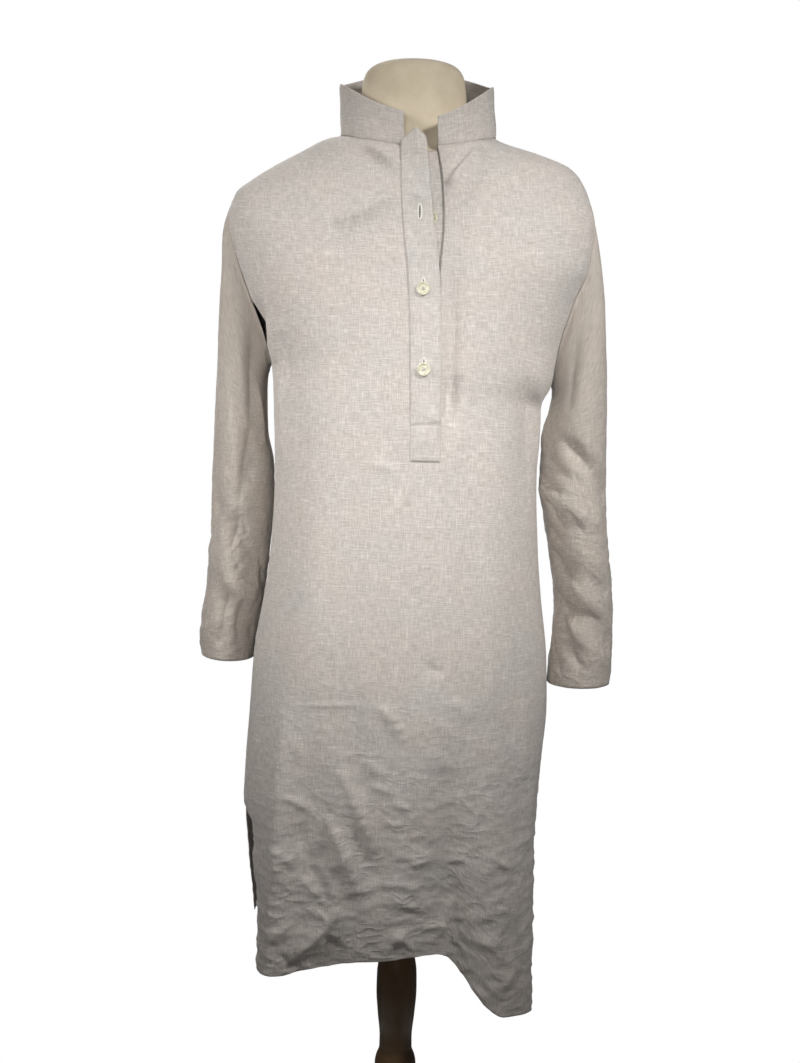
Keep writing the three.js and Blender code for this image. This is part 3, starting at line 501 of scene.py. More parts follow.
def linen(name, light, dark):
    """Plain-woven linen. Two wave patterns a thread apart make warp and weft. Streaks of noise,
    thin across a thread and long along it, are its slubs, and rarer ones are thick pale threads.
    They set the tone between dark and light, and the height of the bump. Ridged noise crinkles
    it in patches, most of all within 42 cm of the hem or cuff, where v is the way up from it."""
    material, tree, shader = new_material(
        name, Roughness=0.88, Sheen_Weight=0.22, Sheen_Roughness=0.45, Specular_IOR_Level=0.22
    )
    uv = node(tree, "UVMap", uv_map="cloth")

    def streaks(scale, place, low, high):
        """Noise stretched along a thread, turned to 0 below low and 1 above high."""
        mapping = node(tree, "Mapping", Scale=scale, Location=place)
        noise = node(tree, "TexNoise", Scale=1.0, Detail=2.0, Roughness=0.6)
        ranged = node(tree, "MapRange", From_Min=low, From_Max=high)
        link(tree, uv, "UV", mapping, "Vector")
        link(tree, mapping, "Vector", noise, "Vector")
        link(tree, noise, "Fac", ranged, "Value")
        return ranged, "Result"

    def threads(direction, scale):
        """One wave a thread, a little uneven."""
        wave = node(tree, "TexWave", wave_type="BANDS", bands_direction=direction, Scale=scale)
        wave.inputs["Distortion"].default_value = 1.4
        wave.inputs["Detail"].default_value = 1.0
        wave.inputs["Detail Scale"].default_value = 0.25
        link(tree, uv, "UV", wave, "Vector")
        return wave, "Fac"

    def weighted(parts):
        """The sum of sources, each times its weight."""
        total = None
        for (source, socket), weight in parts:
            step = node(tree, "Math", operation="MULTIPLY_ADD")
            step.inputs[1].default_value = weight
            step.inputs[2].default_value = 0.0
            link(tree, source, socket, step, 0)
            if total is not None:
                link(tree, total, "Value", step, 2)
            total = step
        return total

    warp, weft = threads("X", 350), threads("Y", 335)
    warp_slubs = streaks((880, 80, 1), (3, 5, 0), 0.28, 0.72)
    weft_slubs = streaks((84, 860, 1), (9, 1, 0), 0.28, 0.72)
    warp_thick = streaks((400, 15, 1), (13, 4, 0), 0.58, 0.68)
    weft_thick = streaks((17, 400, 1), (2, 17, 0), 0.58, 0.68)
    mottle = streaks((130, 110, 1), (4, 6, 0), 0.3, 0.7)
    patches = streaks((14, 14, 1), (7, 7, 0), 0.3, 0.7)
    tone = weighted(
        [(warp_slubs, 0.32), (weft_slubs, 0.36), (warp_thick, 0.11), (weft_thick, 0.13)]
        + [(mottle, 0.09), (warp, 0.07), (weft, 0.07), (patches, 0.06)]
    )
    ramp = tones(tree, dark, light, 0.30, 0.84)
    link(tree, tone, "Value", ramp, "Fac")
    tint = node(tree, "Mix", data_type="RGBA", blend_type="MULTIPLY")
    tint.inputs["B"].default_value = (1.0, 0.965, 0.94, 1)
    link(tree, *patches, tint, "Factor")
    link(tree, ramp, "Color", tint, "A")
    link(tree, tint, "Result", shader, "Base Color")
    height = weighted(
        [(warp, 0.35), (weft, 0.35), (warp_slubs, 0.5), (weft_slubs, 0.5), (warp_thick, 0.3)]
    )
    weave = node(tree, "Bump", Strength=0.5, Distance=0.0003)
    link(tree, height, "Value", weave, "Height")

    # The crinkle: ridges times how near the hem they are times the patch they lie in.
    place = node(tree, "SeparateXYZ")
    near_hem = node(tree, "MapRange", From_Min=0.42, From_Max=0.10, To_Min=0.12, To_Max=1.0)
    link(tree, uv, "UV", place, "Vector")
    link(tree, place, "Y", near_hem, "Value")
    blotches = node(tree, "TexNoise", Scale=19.0, Detail=1.0)
    in_patch = node(tree, "MapRange", From_Min=0.38, From_Max=0.57, To_Min=0.15, To_Max=1.0)
    link(tree, uv, "UV", blotches, "Vector")
    link(tree, blotches, "Fac", in_patch, "Value")
    turned = node(tree, "Mapping", Scale=(0.85, 1.1, 1), Rotation=(0, 0, 0.6))
    ridges = node(tree, "TexNoise", noise_type="RIDGED_MULTIFRACTAL", Scale=60.0, Detail=3.0)
    for socket, value in (("Distortion", 0.4), ("Offset", 1.0), ("Gain", 1.0)):
        ridges.inputs[socket].default_value = value
    link(tree, uv, "UV", turned, "Vector")
    link(tree, turned, "Vector", ridges, "Vector")
    amount = node(tree, "Math", operation="MULTIPLY")
    depth = node(tree, "Math", operation="MULTIPLY")
    crinkle = node(tree, "Bump", Strength=0.9, Distance=0.00085)
    link(tree, near_hem, "Result", amount, 0)
    link(tree, in_patch, "Result", amount, 1)
    link(tree, ridges, "Fac", depth, 0)
    link(tree, amount, "Value", depth, 1)
    link(tree, depth, "Value", crinkle, "Height")
    link(tree, crinkle, "Normal", weave, "Normal")
    link(tree, weave, "Normal", shader, "Normal")
    return material


OATMEAL_LIGHT, OATMEAL_DARK = (0.735, 0.702, 0.676), (0.455, 0.426, 0.396)
body_linen = linen("oatmeal_linen", OATMEAL_LIGHT, OATMEAL_DARK)

OPENING_FOOT, SLIT_FOOT, LAP = 1022, 1056, 4
opening = smooth_table(
    ("stitched", "free", "stand_off", "slit_right"),
    [
        (OPENING_FOOT, 3, 36.5, 0, 32.5),
        (1096, 2.2, 36, 0, 32),
        (1171, 0, 35.3, 0, 31.3),
        (1232, -3, 31.8, 1.2, 31.8),
        (1300, -10, 23.5, 7, 35.5),
        (1355, -12.5, 18, 10, 33),
        (1395, -13.5, 14, 12, 27),
    ],
)


def spans(stops, counts):
    """Columns in even steps between stops that change from row to row."""
    parts = [
        np.linspace(a, b, count, endpoint=False, axis=1)
        for a, b, count in zip(stops[:-1], stops[1:], counts)
    ]
    return np.concatenate(parts + [stops[-1][:, None]], 1)


SIDE_COLUMNS, LAP_COLUMNS, SLIT_COLUMNS = 62, 2, 10
heights = stitched_rows()
front_edge = angle_at_depth(armhole_depth(heights, "front"), heights, True)
slit = opening(heights)
slit_stops = [slit[side] + lap for side in ("stitched", "slit_right") for lap in (0, LAP)]
front_angles = spans(
    [front_edge, *(angle_at_x(x, heights) for x in slit_stops), np.pi - front_edge],
    (SIDE_COLUMNS, LAP_COLUMNS, SLIT_COLUMNS, LAP_COLUMNS, SIDE_COLUMNS),
)
PLACKET_FADE = 9
SEAM_STARTS, SEAM_GROWS = VENT_TOP - 6, 14  # where a vent's turned edges pass into the seam


def clear_of_placket(x, z):
    """0 where the placket's strips lie and 1 away from them, over the fade's width."""
    at = opening(np.maximum(z, OPENING_FOOT))
    beside = np.maximum(at["stitched"] - x, x - at["slit_right"] - LAP)
    below = OPENING_FOOT - 2 - z
    return np.maximum(smooth_step(beside / PLACKET_FADE), smooth_step(below / PLACKET_FADE))


def edges_worked(points, height):
    """Height of a panel's worked edges: the hem, the sides, which are seams above the vents and
    turned edges beside them, and the neck."""
    lengths = running_length(points, 1)
    from_left, from_right = lengths, lengths[:, -1:] - lengths
    up = height - HEM
    seam = smooth_step((height - SEAM_STARTS) / SEAM_GROWS)
    down_from_neck = running_length(points[::-1], 0)[::-1]
    total = hem_band(up, lengths, 21)
    for distance, seed in ((from_left, 31), (from_right, 41)):
        turned = hem_band(distance, height + 0 * lengths, seed + 3)
        total = total + seam * worked(distance, seed, height) + (1 - seam) * turned
    return total + 0.5 * worked(down_from_neck, 51, lengths)


CRUMPLE_HEIGHT = 2.4
SEAM_FADE = 0.05  # the square of the sine by which creases and crumples have faded at a side seam
FRONT_CRUSH = (0.14, 1.06, 760, 330)  # least, growth, from this height, over this length


def worked_panel(surface, angles, creases, crush, seed, clear=None):
    """A panel's own surface, and the same with what is worked on it: its edges, and creases and
    crumples, which fade at the side seams and where clear does. crush is the crumples' strength
    high up, how much it grows, the height it grows from and the way down over which it does."""
    height = np.broadcast_to(heights[:, None], angles.shape)
    base = surface(angles, height)
    x, z = base[..., 0], base[..., 2]
    least, more, top, over = crush
    crushed = least + more * smooth_step((top - z) / over)
    out = creases_at(creases, x, z) + CRUMPLE_HEIGHT * crushed * crumple(x, z, seed)
    fade = smooth_step(np.sin(angles) ** 2 / SEAM_FADE)
    if clear is not None:
        fade = clear(x, z) * fade
    out = out * fade + edges_worked(base, height)
    return base, base + normal_of(surface, angles, height) * out[..., None]


def length_of_rows(points):
    """Each row's place up the cloth, from the mean distance between rows."""
    steps = np.linalg.norm(np.diff(points, axis=0), axis=-1)
    return np.concatenate([[0], np.cumsum(steps.mean(1))])


def cloth_places(points, middle):
    """Places in the flat cloth, in metres: across from the middle column, and up from the hem."""
    across = running_length(points, 1)
    across = across - across[:, middle : middle + 1]
    along = np.broadcast_to(length_of_rows(points)[:, None], across.shape)
    return across * MM, along * MM


def unit(vectors):
    """Vectors of length 1 in the same directions."""
    return vectors / np.linalg.norm(vectors, axis=-1, keepdims=True)


def surface_normals(points, wrap=False):
    """Normals of a grid of points, from the differences along its columns and its rows."""
    if wrap:
        across = np.roll(points, -1, 1) - np.roll(points, 1, 1)
    else:
        across = np.gradient(points, axis=1)
    return unit(np.cross(across, np.gradient(points, axis=0)))


def thread(name, colour):
    """Spun sewing thread: matt, a little uneven in tone, with fine slanting ribs as its bump."""
    material, tree, shader = new_material(name, Roughness=0.7, Sheen_Weight=0.3)
    place = node(tree, "TexCoord")
    noise = node(tree, "TexNoise", Scale=900.0, Detail=2.0)
    ribs = node(tree, "TexWave", wave_type="BANDS", bands_direction="DIAGONAL", Scale=500.0)
    ramp = tones(tree, [0.72 * c for c in colour], colour)
    bump = node(tree, "Bump", Strength=0.5, Distance=0.0002)
    for source in (noise, ribs):
        link(tree, place, "Object", source, "Vector")
    link(tree, noise, "Fac", ramp, "Fac")
    link(tree, ramp, "Color", shader, "Base Color")
    link(tree, ribs, "Fac", bump, "Height")
    link(tree, bump, "Normal", shader, "Normal")
    return material


STITCH_LENGTH, STITCH_GAP, STITCH_BOW, THREAD_RADIUS = 2.6, 0.9, 0.2, 0.24
linen_thread = thread("linen_thread", (0.70, 0.66, 0.60))


def place_at(lengths, distance):
    """Where a distance is reached along each row of lengths, in grid steps."""
    return np.array([np.interp(distance, row, np.arange(len(row))) for row in lengths])


def on_grid(points, rows, columns):
    """Points of a grid between its corners, blended from the four around each."""
    i = np.clip(np.floor(rows).astype(int), 0, points.shape[0] - 2)
    j = np.clip(np.floor(columns).astype(int), 0, points.shape[1] - 2)
    u, v = (rows - i)[:, None], (columns - j)[:, None]
    low = points[i, j] * (1 - v) + points[i, j + 1] * v
    return low * (1 - u) + (points[i + 1, j] * (1 - v) + points[i + 1, j + 1] * v) * u


def stitching(name, points, normals, lines):
    """Rows of stitches on a grid of points, one mesh. Each stitch is a short thread of four sides,
    laid along its line and bowed out by a sine, thinner at both ends, which are closed."""
    rings = []
    share = np.linspace(0, 1, 4)
    turn = np.arange(4) * np.pi / 2 + np.pi / 4
    for rows, columns in lines:
        path, out = on_grid(points, rows, columns), on_grid(normals, rows, columns)
        along = running_length(path[None], 1)[0]
        count = int(along[-1] / (STITCH_LENGTH + STITCH_GAP))
        start = (np.arange(count) + 0.5) * along[-1] / count - STITCH_LENGTH / 2
        at = start[:, None] + share * STITCH_LENGTH
        middle = np.stack([np.interp(at, along, path[:, k]) for k in range(3)], -1)
        normal = unit(np.stack([np.interp(at, along, out[:, k]) for k in range(3)], -1))
        sideways = np.cross(unit(np.gradient(middle, axis=1)), normal)
        bow = np.sin(np.pi * share)
        middle = middle + normal * (0.02 + STITCH_BOW * bow)[:, None]
        radius = (THREAD_RADIUS * (0.45 + 0.55 * bow))[:, None, None]
        c, s = np.cos(turn)[:, None], np.sin(turn)[:, None]
        ring = c * sideways[:, :, None] + s * normal[:, :, None]
        rings.append(middle[:, :, None] + radius * ring)
    rings = np.concatenate(rings)
    index = np.arange(rings[..., 0].size).reshape(rings.shape[:3])
    beside = np.roll(index, -1, 2)
    sides = np.stack([index[:, :-1], index[:, 1:], beside[:, 1:], beside[:, :-1]], -1)
    faces = np.concatenate([sides.reshape(-1, 4), index[:, 0], index[:, -1, ::-1]])
    piece = mesh_object(name, rings, faces, linen_thread)
    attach(piece, "root")


def panel_lines(points, hem_points=200, vent_points=60):
    """Where a panel is topstitched: along its hem between the vents' rows, and up both vents."""
    lengths = running_length(points, 1)
    from_left = place_at(lengths, HEM_STITCH)
    from_right = place_at(lengths[:, -1:] - lengths[:, ::-1], HEM_STITCH)
    from_right = points.shape[1] - 1 - from_right
    every_row = np.arange(len(heights))
    hem_row, vent_row = np.interp((HEM + HEM_STITCH, VENT_TOP), heights, every_row)
    vent_rows = np.linspace(hem_row, vent_row, vent_points)
    nearest = int(round(hem_row))
    columns = np.linspace(from_left[nearest], from_right[nearest], hem_points)
    lines = [(np.full(hem_points, hem_row), columns)]
    for reached in (from_left, from_right):
        lines.append((vent_rows, np.interp(vent_rows, every_row, reached)))
    return lines


front_base, front_points = worked_panel(
    front_point, front_angles, front_creases, FRONT_CRUSH, 3, clear_of_placket
)
SLIT_FROM = SIDE_COLUMNS + LAP_COLUMNS
in_slit = np.zeros((len(heights) - 1, front_angles.shape[1] - 1), bool)
in_slit[heights[:-1] >= SLIT_FOOT, SLIT_FROM : SLIT_FROM + SLIT_COLUMNS] = True
front_places = cloth_places(front_base, SLIT_FROM)
front = grid_object("front_panel", front_points, *front_places, body_linen, left_out=in_slit)
thicken(front, CLOTH_MM)
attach(front, "root")
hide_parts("front")
stitching("front_stitching", front_points, surface_normals(front_points), panel_lines(front_base))

# The back: one plain panel of the same linen, sewn to the front at the sides and shoulders,
# with its own hem, turned and stitched, and its own folds hanging from the shoulder blades.
back_folds = [
    # x1, z1, x2, z2, width, depth
    (-80, 1260, -104, 200, 26, -8),
    (86, 1260, 108, 200, 26, -8),
    (2, 1200, 6, 200, 32, 7),
    (-42, 980, -30, 200, 20, -6),
    (48, 960, 56, 200, 20, -6),
    (-138, 900, -156, 300, 20, 6),
    (134, 900, 142, 300, 20, 6),
]
back_creases = [
    # x1, z1, x2, z2, bow, width below or right, width above or left, height
    (70, 735, 30, 690, 3, 5, 4, 1.8),
    (20, 668, -22, 560, 4, 8, 5, 2.6),
    (92, 620, 54, 540, 3, 8, 5, 2.4),
    (118, 445, 62, 508, -5, 9, 15, 4.5),
    (66, 530, 18, 538, -4, 5, 9, 2.4),
    (20, 536, -34, 528, 4, 5, 8, 2.2),
    (-50, 560, -86, 566, 3, 4, 8, 2.2),
    (-104, 572, -136, 548, -3, 4, 5, 2.0),
    (12, 486, -20, 455, 2, 5, 5, 2.2),
    (-12, 484, 16, 452, -2, 5, 5, 2.0),
    (-52, 500, -74, 520, 2, 5, 6, 1.8),
    (140, 570, 112, 548, 2, 5, 5, 2.0),
    (30, 1240, 72, 1190, 5, 8, 12, 2.4),
    (-32, 1236, -78, 1184, -5, 8, 12, 2.4),
    (110, 1180, 140, 1120, 4, 7, 9, -2.4),
    (-112, 1180, -142, 1116, -4, 7, 9, -2.4),
    (-60, 820, -84, 700, 4, 10, 8, 2.0),
    (50, 850, 68, 720, 4, 10, 8, 1.8),
    (-20, 760, 10, 744, 2, 5, 5, 1.4),
    (96, 700, 124, 640, 3, 8, 7, 1.8),
    (-118, 690, -96, 610, 3, 8, 7, 1.6),
    (0, 1345, 4, 1250, 2, 10, 10, -1.6),
    (52, 1345, 84, 1316, 3, 6, 9, 2.0),
    (-48, 1345, -80, 1314, -3, 6, 9, 2.0),
]
BACK_COLUMNS = 126
BACK_HEM, BACK_HEM_SLOPE = 439, -0.03
BACK_CRUSH = (0.15, 0.85, 780, 300)


def back_hem(x):
    """The back's hem line, which slopes evenly."""
    return BACK_HEM + BACK_HEM_SLOPE * x


def back_point(angle, height):
    """The back's own surface."""
    return panel_point(angle, height, back_folds, back_hem, False)


back_edge = angle_at_depth(armhole_depth(heights, "back"), heights, False)
back_angles = spans([np.pi + back_edge, 2 * np.pi - back_edge], [BACK_COLUMNS])
back_base, back_points = worked_panel(back_point, back_angles, back_creases, BACK_CRUSH, 63)
back_places = cloth_places(back_base, BACK_COLUMNS // 2)
back = grid_object("back_panel", back_points, *back_places, body_linen)
thicken(back, CLOTH_MM)
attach(back, "root")
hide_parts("back")
stitching("back_stitching", back_points, surface_normals(back_points), panel_lines(back_base))

# The sleeves: long, each from one piece of the same linen with its seam under the arm, set into
# the armhole, bent a little by the way they hang, and turned and stitched at the cuff.
sleeve_sections = {
    # outer x, outer z, inner x, inner z, middle y, half depth, share left of the armhole's form
    "left": [
        (-207, 1325, -162, 1130, 2, 56, 1),
        (-216, 1300, -164, 1126, 3, 58, 0.9),
        (-218.5, 1265, -166, 1121, 5, 60, 0.74),
        (-222.5, 1225, -168, 1113, 8, 62, 0.56),
        (-226.5, 1180, -169, 1100, 11, 63, 0.36),
        (-229, 1124, -169, 1078, 14, 63, 0.16),
        (-232, 1072, -168, 1050, 17, 63, 0.04),
        (-235, 1014, -160.6, 1011, 20, 62, 0),
        (-237, 962, -159.4, 966, 23, 61, 0),
        (-238.5, 910, -162.2, 918, 25, 60, 0),
        (-244, 858, -168.4, 868, 26, 58, 0),
        (-249.5, 820, -175, 826, 26, 56, 0),
        (-251, 800, -180, 799, 26, 54, 0),
        (-248, 777, -182.5, 773, 26, 53, 0),
    ],
    "right": [
        (208, 1325, 169, 1110, 2, 56, 1),
        (216, 1290, 171, 1106, 2, 58, 0.9),
        (223, 1255, 172, 1102, 3, 60, 0.74),
        (229, 1215, 172, 1095, 4, 62, 0.56),
        (233, 1170, 170, 1084, 5, 63, 0.36),
        (237, 1112, 166, 1064, 7, 63, 0.16),
        (239, 1046, 161, 1028, 9, 62, 0.04),
        (241, 990, 159.5, 996, 10, 60, 0),
        (245, 938, 168, 938, 10, 57, 0),
        (251, 886, 177, 884, 10, 54, 0),
        (255, 838, 181, 840, 10, 51, 0),
        (256, 796, 178.5, 797, 10, 49, 0),
        (255, 772, 176.5, 772, 10, 48, 0),
        (253, 752, 176, 751, 10, 47, 0),
    ],
}
sleeve_folds = {
    # angle1, z1, angle2, z2, width, depth, with angle 0 outermost and 90 in front
    "left": [
        (40, 960, 130, 900, 14, -5),
        (30, 905, 120, 850, 13, 4),
        (60, 860, 150, 815, 12, -5),
        (215, 980, 300, 930, 16, -5),
        (235, 880, 320, 840, 14, 4),
        (80, 1160, 110, 1010, 16, -4),
    ],
    "right": [
        (100, 1035, 30, 985, 13, -5),
        (160, 985, 60, 950, 14, 5),
        (150, 900, 50, 870, 13, -5),
        (130, 845, 40, 805, 12, -5),
        (215, 1010, 300, 960, 16, -5),
        (220, 860, 310, 830, 14, -4),
    ],
}
sleeve_creases = {
    # angle1, z1, angle2, z2, bow, width on one side and the other, height, on the same angles
    "left": [
        (116, 1180, 122, 1055, 4, 8, 10, 3.2),
        (122, 1055, 92, 962, -3, 7, 11, 3.4),
        (92, 966, 76, 905, 3, 6, 9, 2.6),
        (128, 1120, 150, 1030, 3, 10, 8, -3.0),
        (82, 905, 138, 868, -5, 5, 7, 2.8),
        (98, 880, 142, 850, 3, 4, 6, -1.8),
        (96, 950, 110, 925, 2, 4, 5, 1.6),
        (90, 925, 118, 908, 2, 4, 4, 1.6),
        (84, 858, 80, 790, 3, 6, 8, 2.4),
        (118, 852, 124, 792, -3, 6, 8, 2.2),
        (60, 850, 96, 842, 2, 4, 4, 1.2),
        (64, 836, 92, 830, 2, 4, 4, 1.3),
        (48, 905, 60, 850, 3, 7, 7, 1.6),
        (140, 905, 160, 860, 3, 6, 6, 2.0),
        (100, 1012, 118, 990, 2, 5, 5, 1.4),
        (238, 1010, 282, 975, 4, 6, 8, 2.4),
        (300, 960, 250, 930, 4, 6, 8, 2.2),
        (232, 925, 290, 888, -4, 5, 7, 2.4),
        (262, 1130, 250, 1020, 4, 10, 12, 2.6),
        (300, 1090, 320, 960, 4, 12, 10, 2.2),
        (280, 860, 300, 800, 3, 6, 8, 2.0),
        (240, 850, 232, 790, 3, 6, 8, 2.0),
        (36, 1050, 30, 900, 4, 11, 11, 1.6),
    ],
    "right": [
        (128, 1052, 62, 1008, -4, 6, 9, 3.2),
        (150, 1030, 100, 1000, 3, 6, 8, 2.2),
        (168, 1010, 118, 985, 4, 5, 7, 2.6),
        (160, 984, 132, 960, 3, 4, 5, 2.2),
        (150, 975, 120, 940, 3, 4, 6, 2.2),
        (110, 965, 92, 948, 2, 4, 4, 1.5),
        (104, 950, 84, 935, -2, 4, 5, 1.6),
        (155, 945, 128, 925, 2, 5, 5, 1.8),
        (160, 915, 120, 880, 4, 7, 9, 2.6),
        (166, 868, 118, 838, 4, 6, 9, 3.2),
        (120, 840, 52, 826, -5, 6, 9, 2.6),
        (150, 842, 92, 776, 6, 7, 12, 4.2),
        (120, 812, 84, 790, 3, 5, 7, 1.8),
        (158, 800, 128, 765, 3, 5, 7, 2.0),
        (70, 980, 50, 930, 4, 8, 9, 1.6),
        (96, 1010, 80, 990, 2, 4, 5, 1.4),
        (152, 1090, 168, 1030, 3, 9, 8, -3.0),
        (100, 1180, 118, 1080, 4, 12, 12, 2.2),
        (238, 1030, 288, 990, 4, 6, 8, 2.6),
        (300, 980, 250, 946, 4, 6, 8, 2.4),
        (228, 910, 286, 876, -4, 5, 7, 2.4),
        (250, 1140, 262, 1040, 4, 12, 10, 2.4),
        (282, 850, 300, 790, 3, 6, 8, 2.0),
        (238, 836, 230, 780, 3, 6, 8, 2.0),
        (326, 1010, 332, 880, 4, 11, 11, 1.6),
    ],
}
SLEEVE_RADIUS = 52  # turns an angle round the sleeve into a length
STEP_OF_ANGLE = SLEEVE_RADIUS * np.pi / 180
UNDERARM_STAND_OFF = 0.5
SLEEVE_COLUMNS, SLEEVE_ROWS = 128, 176
CLOSER_AT_ELBOW = 0.035  # how far rows are moved towards the middle, as a share of the length


def armhole_ring(side):
    """The armhole's edge, from the shoulder tip down the front and up the back, as points and the
    panels' normals, evenly spaced by the same cosine that divides the panels' rows."""
    turn = np.linspace(0, 2 * np.pi, SLEEVE_COLUMNS, endpoint=False)
    height = UNDERARM + (1 + np.cos(turn)) / 2 * (SHOULDER_TIP - UNDERARM)
    at, normal = [], []
    for surface, name in ((front_point, "front"), (back_point, "back")):
        angle = angle_at_depth(armhole_depth(height, name), height, name == "front")
        angle = angle if name == "front" else -angle
        angle = angle if side == "left" else np.pi - angle
        at.append(surface(angle, height))
        normal.append(normal_of(surface, angle, height))
    in_front = (turn < np.pi)[:, None]
    return np.where(in_front, at[0], at[1]), np.where(in_front, normal[0], normal[1])


def unrolled(lines):
    """Folds or creases with their angles turned into lengths round the sleeve."""
    step = STEP_OF_ANGLE
    return [(a1 * step, z1, a2 * step, z2, *rest) for a1, z1, a2, z2, *rest in lines]


def sleeve_points(side):
    """A sleeve's surface. Each ring is an oval between the section's outer and inner point, read
    smoothly along the sleeve. To it is added the share still left of the armhole's own form, so
    the sleeve flows out of its seam."""
    edge, edge_normal = armhole_ring(side)
    turn = np.linspace(0, 2 * np.pi, SLEEVE_COLUMNS, endpoint=False)
    under = smooth_step((1 - np.cos(turn)) / 2)[:, None]
    rows = np.array(sleeve_sections[side], float)
    middles = (rows[:, :2] + rows[:, 2:4]) / 2
    places = np.concatenate([[0], np.cumsum(np.hypot(*np.diff(middles, axis=0).T))])
    names = ("outer_x", "outer_z", "inner_x", "inner_z", "middle_y", "half_depth", "keep")
    read = smooth_table(names, np.column_stack([places, rows]))
    share = np.linspace(0, 1, SLEEVE_ROWS)
    along = places[-1] * (share + CLOSER_AT_ELBOW * np.sin(2 * np.pi * share))
    section = {name: value[:, None] for name, value in read(along).items()}

    def oval(at):
        """The ovals of some sections."""
        c, s = np.cos(turn), np.sin(turn)
        x = (at["outer_x"] + at["inner_x"]) / 2 + (at["outer_x"] - at["inner_x"]) / 2 * c
        z = (at["outer_z"] + at["inner_z"]) / 2 + (at["outer_z"] - at["inner_z"]) / 2 * c
        return np.stack([x, at["middle_y"] - at["half_depth"] * s, z], -1)

    around = unit(np.roll(edge, -1, 0) - np.roll(edge, 1, 0))
    inward = unit(np.cross(around, edge_normal))
    towards = edge.mean(0) - edge
    inward *= np.sign((inward * towards).sum(-1, keepdims=True))
    seam = edge + inward * SEAM + edge_normal * UNDERARM_STAND_OFF * under
    rings, keep = oval(section), section["keep"]
    points = rings + (seam - rings[0]) * keep[..., None]
    half_way = SLEEVE_COLUMNS // 2
    middle = (rings[:, :1] + rings[:, half_way : half_way + 1]) / 2
    radial = (points - middle) * (1, 1, 0)
    round_it = np.degrees(turn) * STEP_OF_ANGLE
    folded = folds_at(unrolled(sleeve_folds[side]), round_it, points[..., 2], swell=False)
    points = points + unit(radial) * (folded * (1 - keep))[..., None]
    return points, keep, turn


SLEEVE_CREASES, SLEEVE_CRUMPLES = 0.8, 1.3
ELBOW, CRUSHED_OVER, LEAST_CRUSHED = 1060, 160, 0.3  # the crumples grow down from the elbow
CUFF_FADE = 26  # towards the cuff's edge they fade over this length
CUFF_DEEPER = 3  # by this much the cuff's band is deeper than the hem's
GATHER, GATHER_PLACE, GATHER_WIDTH = 0.32, 9, 8
CAP_RISE, CAP_PLACE, CAP_WIDTH = 0.9, 4.5, 3.2


def sleeve_detail(side, points, keep, turn, seed):
    """What is worked on a sleeve: its creases, crumples that are strongest below the elbow, the
    cap's seam with slight gathers, and the turned cuff. Round the sleeve the crumples are read on
    a circle, so that they meet at the inner seam."""
    z = points[..., 2]
    creases = creases_at(unrolled(sleeve_creases[side]), np.degrees(turn) * STEP_OF_ANGLE, z)
    web_x, web_z = SLEEVE_RADIUS * np.sin(turn), SLEEVE_RADIUS * 0.6 * np.cos(turn)
    web = crumple(web_x + 0 * z, z + web_z, seed)
    crushed = LEAST_CRUSHED + smooth_step((ELBOW - z) / CRUSHED_OVER)
    from_seam = running_length(points, 0)
    from_cuff = from_seam[-1:] - from_seam
    out = SLEEVE_CREASES * creases + SLEEVE_CRUMPLES * crushed * web
    out = out * smooth_step((1 - keep) / 0.5) * smooth_step(from_cuff / CUFF_FADE)
    lengths = running_length(points, 1)
    uneven = np.sin(lengths / 5.2 + 2 * np.sin(lengths / 19))
    gathers = GATHER * uneven * ridge(from_seam - GATHER_PLACE, GATHER_WIDTH)
    cap = CAP_RISE * ridge(from_seam - CAP_PLACE, CAP_WIDTH) - SEAM_ROLL * ridge(from_seam, 1.8)
    cuff = hem_band(from_cuff - CUFF_DEEPER, np.sin(turn) * 90 + 0 * z, seed + 7)
    return out + (cap + gathers) + cuff


# Painted shade: the sleeves are the same cloth as the body, but their linen is a darker, warmer
# copy of it that paints in the shade they hang in.
SHADED_SLEEVE_LIGHT, SHADED_SLEEVE_DARK = (0.650, 0.606, 0.560), (0.396, 0.358, 0.316)
shaded_sleeve_linen = linen("oatmeal_linen_sleeves_painted_shade", SHADED_SLEEVE_LIGHT, SHADED_SLEEVE_DARK)
for side, seed in (("left", 81), ("right", 95)):
    is_left = side == "left"
    base, keep, turn = sleeve_points(side)
    normals = surface_normals(base, wrap=True) * (1 if is_left else -1)
    points = base + normals * sleeve_detail(side, base, keep, turn, seed)[..., None]
    across = running_length(closed(base), 1) * MM
    along = np.broadcast_to(length_of_rows(base)[::-1][:, None], across.shape) * MM
    cloth = (across, along, shaded_sleeve_linen)
    piece = grid_object(f"sleeve_{side}_cloth", points, *cloth, wrap=True, flip=is_left)
    thicken(piece, CLOTH_MM)
    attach(piece, "root")
    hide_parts(f"sleeve_{side}")
    from_cuff = running_length(closed(base)[::-1], 0)
    cuff_rows = SLEEVE_ROWS - 1 - place_at(from_cuff.T, HEM_STITCH + CUFF_DEEPER)
    cuff_line = (cuff_rows, np.arange(SLEEVE_COLUMNS + 1.0))
    stitching(f"sleeve_{side}_stitching", closed(points), closed(normals), [cuff_line])

# The collar: two layers of linen round a stiff interlining, with square open ends. It stands on
# the neckline and is more angular at its top than at its foot, with flat fronts.
collar_height = {"left_end": 37, "right_end": 31, "side": 61.5, "back": 69}
collar_squareness = {"front": 1.5, "back": 2.2}
collar_spread = {"front": -3, "back": 2}
COLLAR_LEAN = {"left": -2, "right": -4, "left_end": -10, "right_end": 11}
COLLAR_CLOTH_MM = 1.9
COLLAR_COLUMNS, COLLAR_ROWS = 210, 34
COLLAR_FROM_HEM = 960  # how far up the cloth its weave is read, clear of the crushed hem
EDGE_STITCH = 4.5  # the stitching's distance from an edge
EDGE_ROLL, EDGE_ROLL_WIDTH, EDGE_GROOVE = 0.7, 1.3, 0.3
FOOT_STITCH, COLLAR_LINE_POINTS, END_LINE_POINTS = 2, 240, 30
COLLAR_SWELL, COLLAR_SWELL_SIZE, COLLAR_WRINKLES, COLLAR_CLEAR = 0.8, 26, 0.5, 8
neck_ring = {name: float(value) for name, value in body_section(NECK).items()}
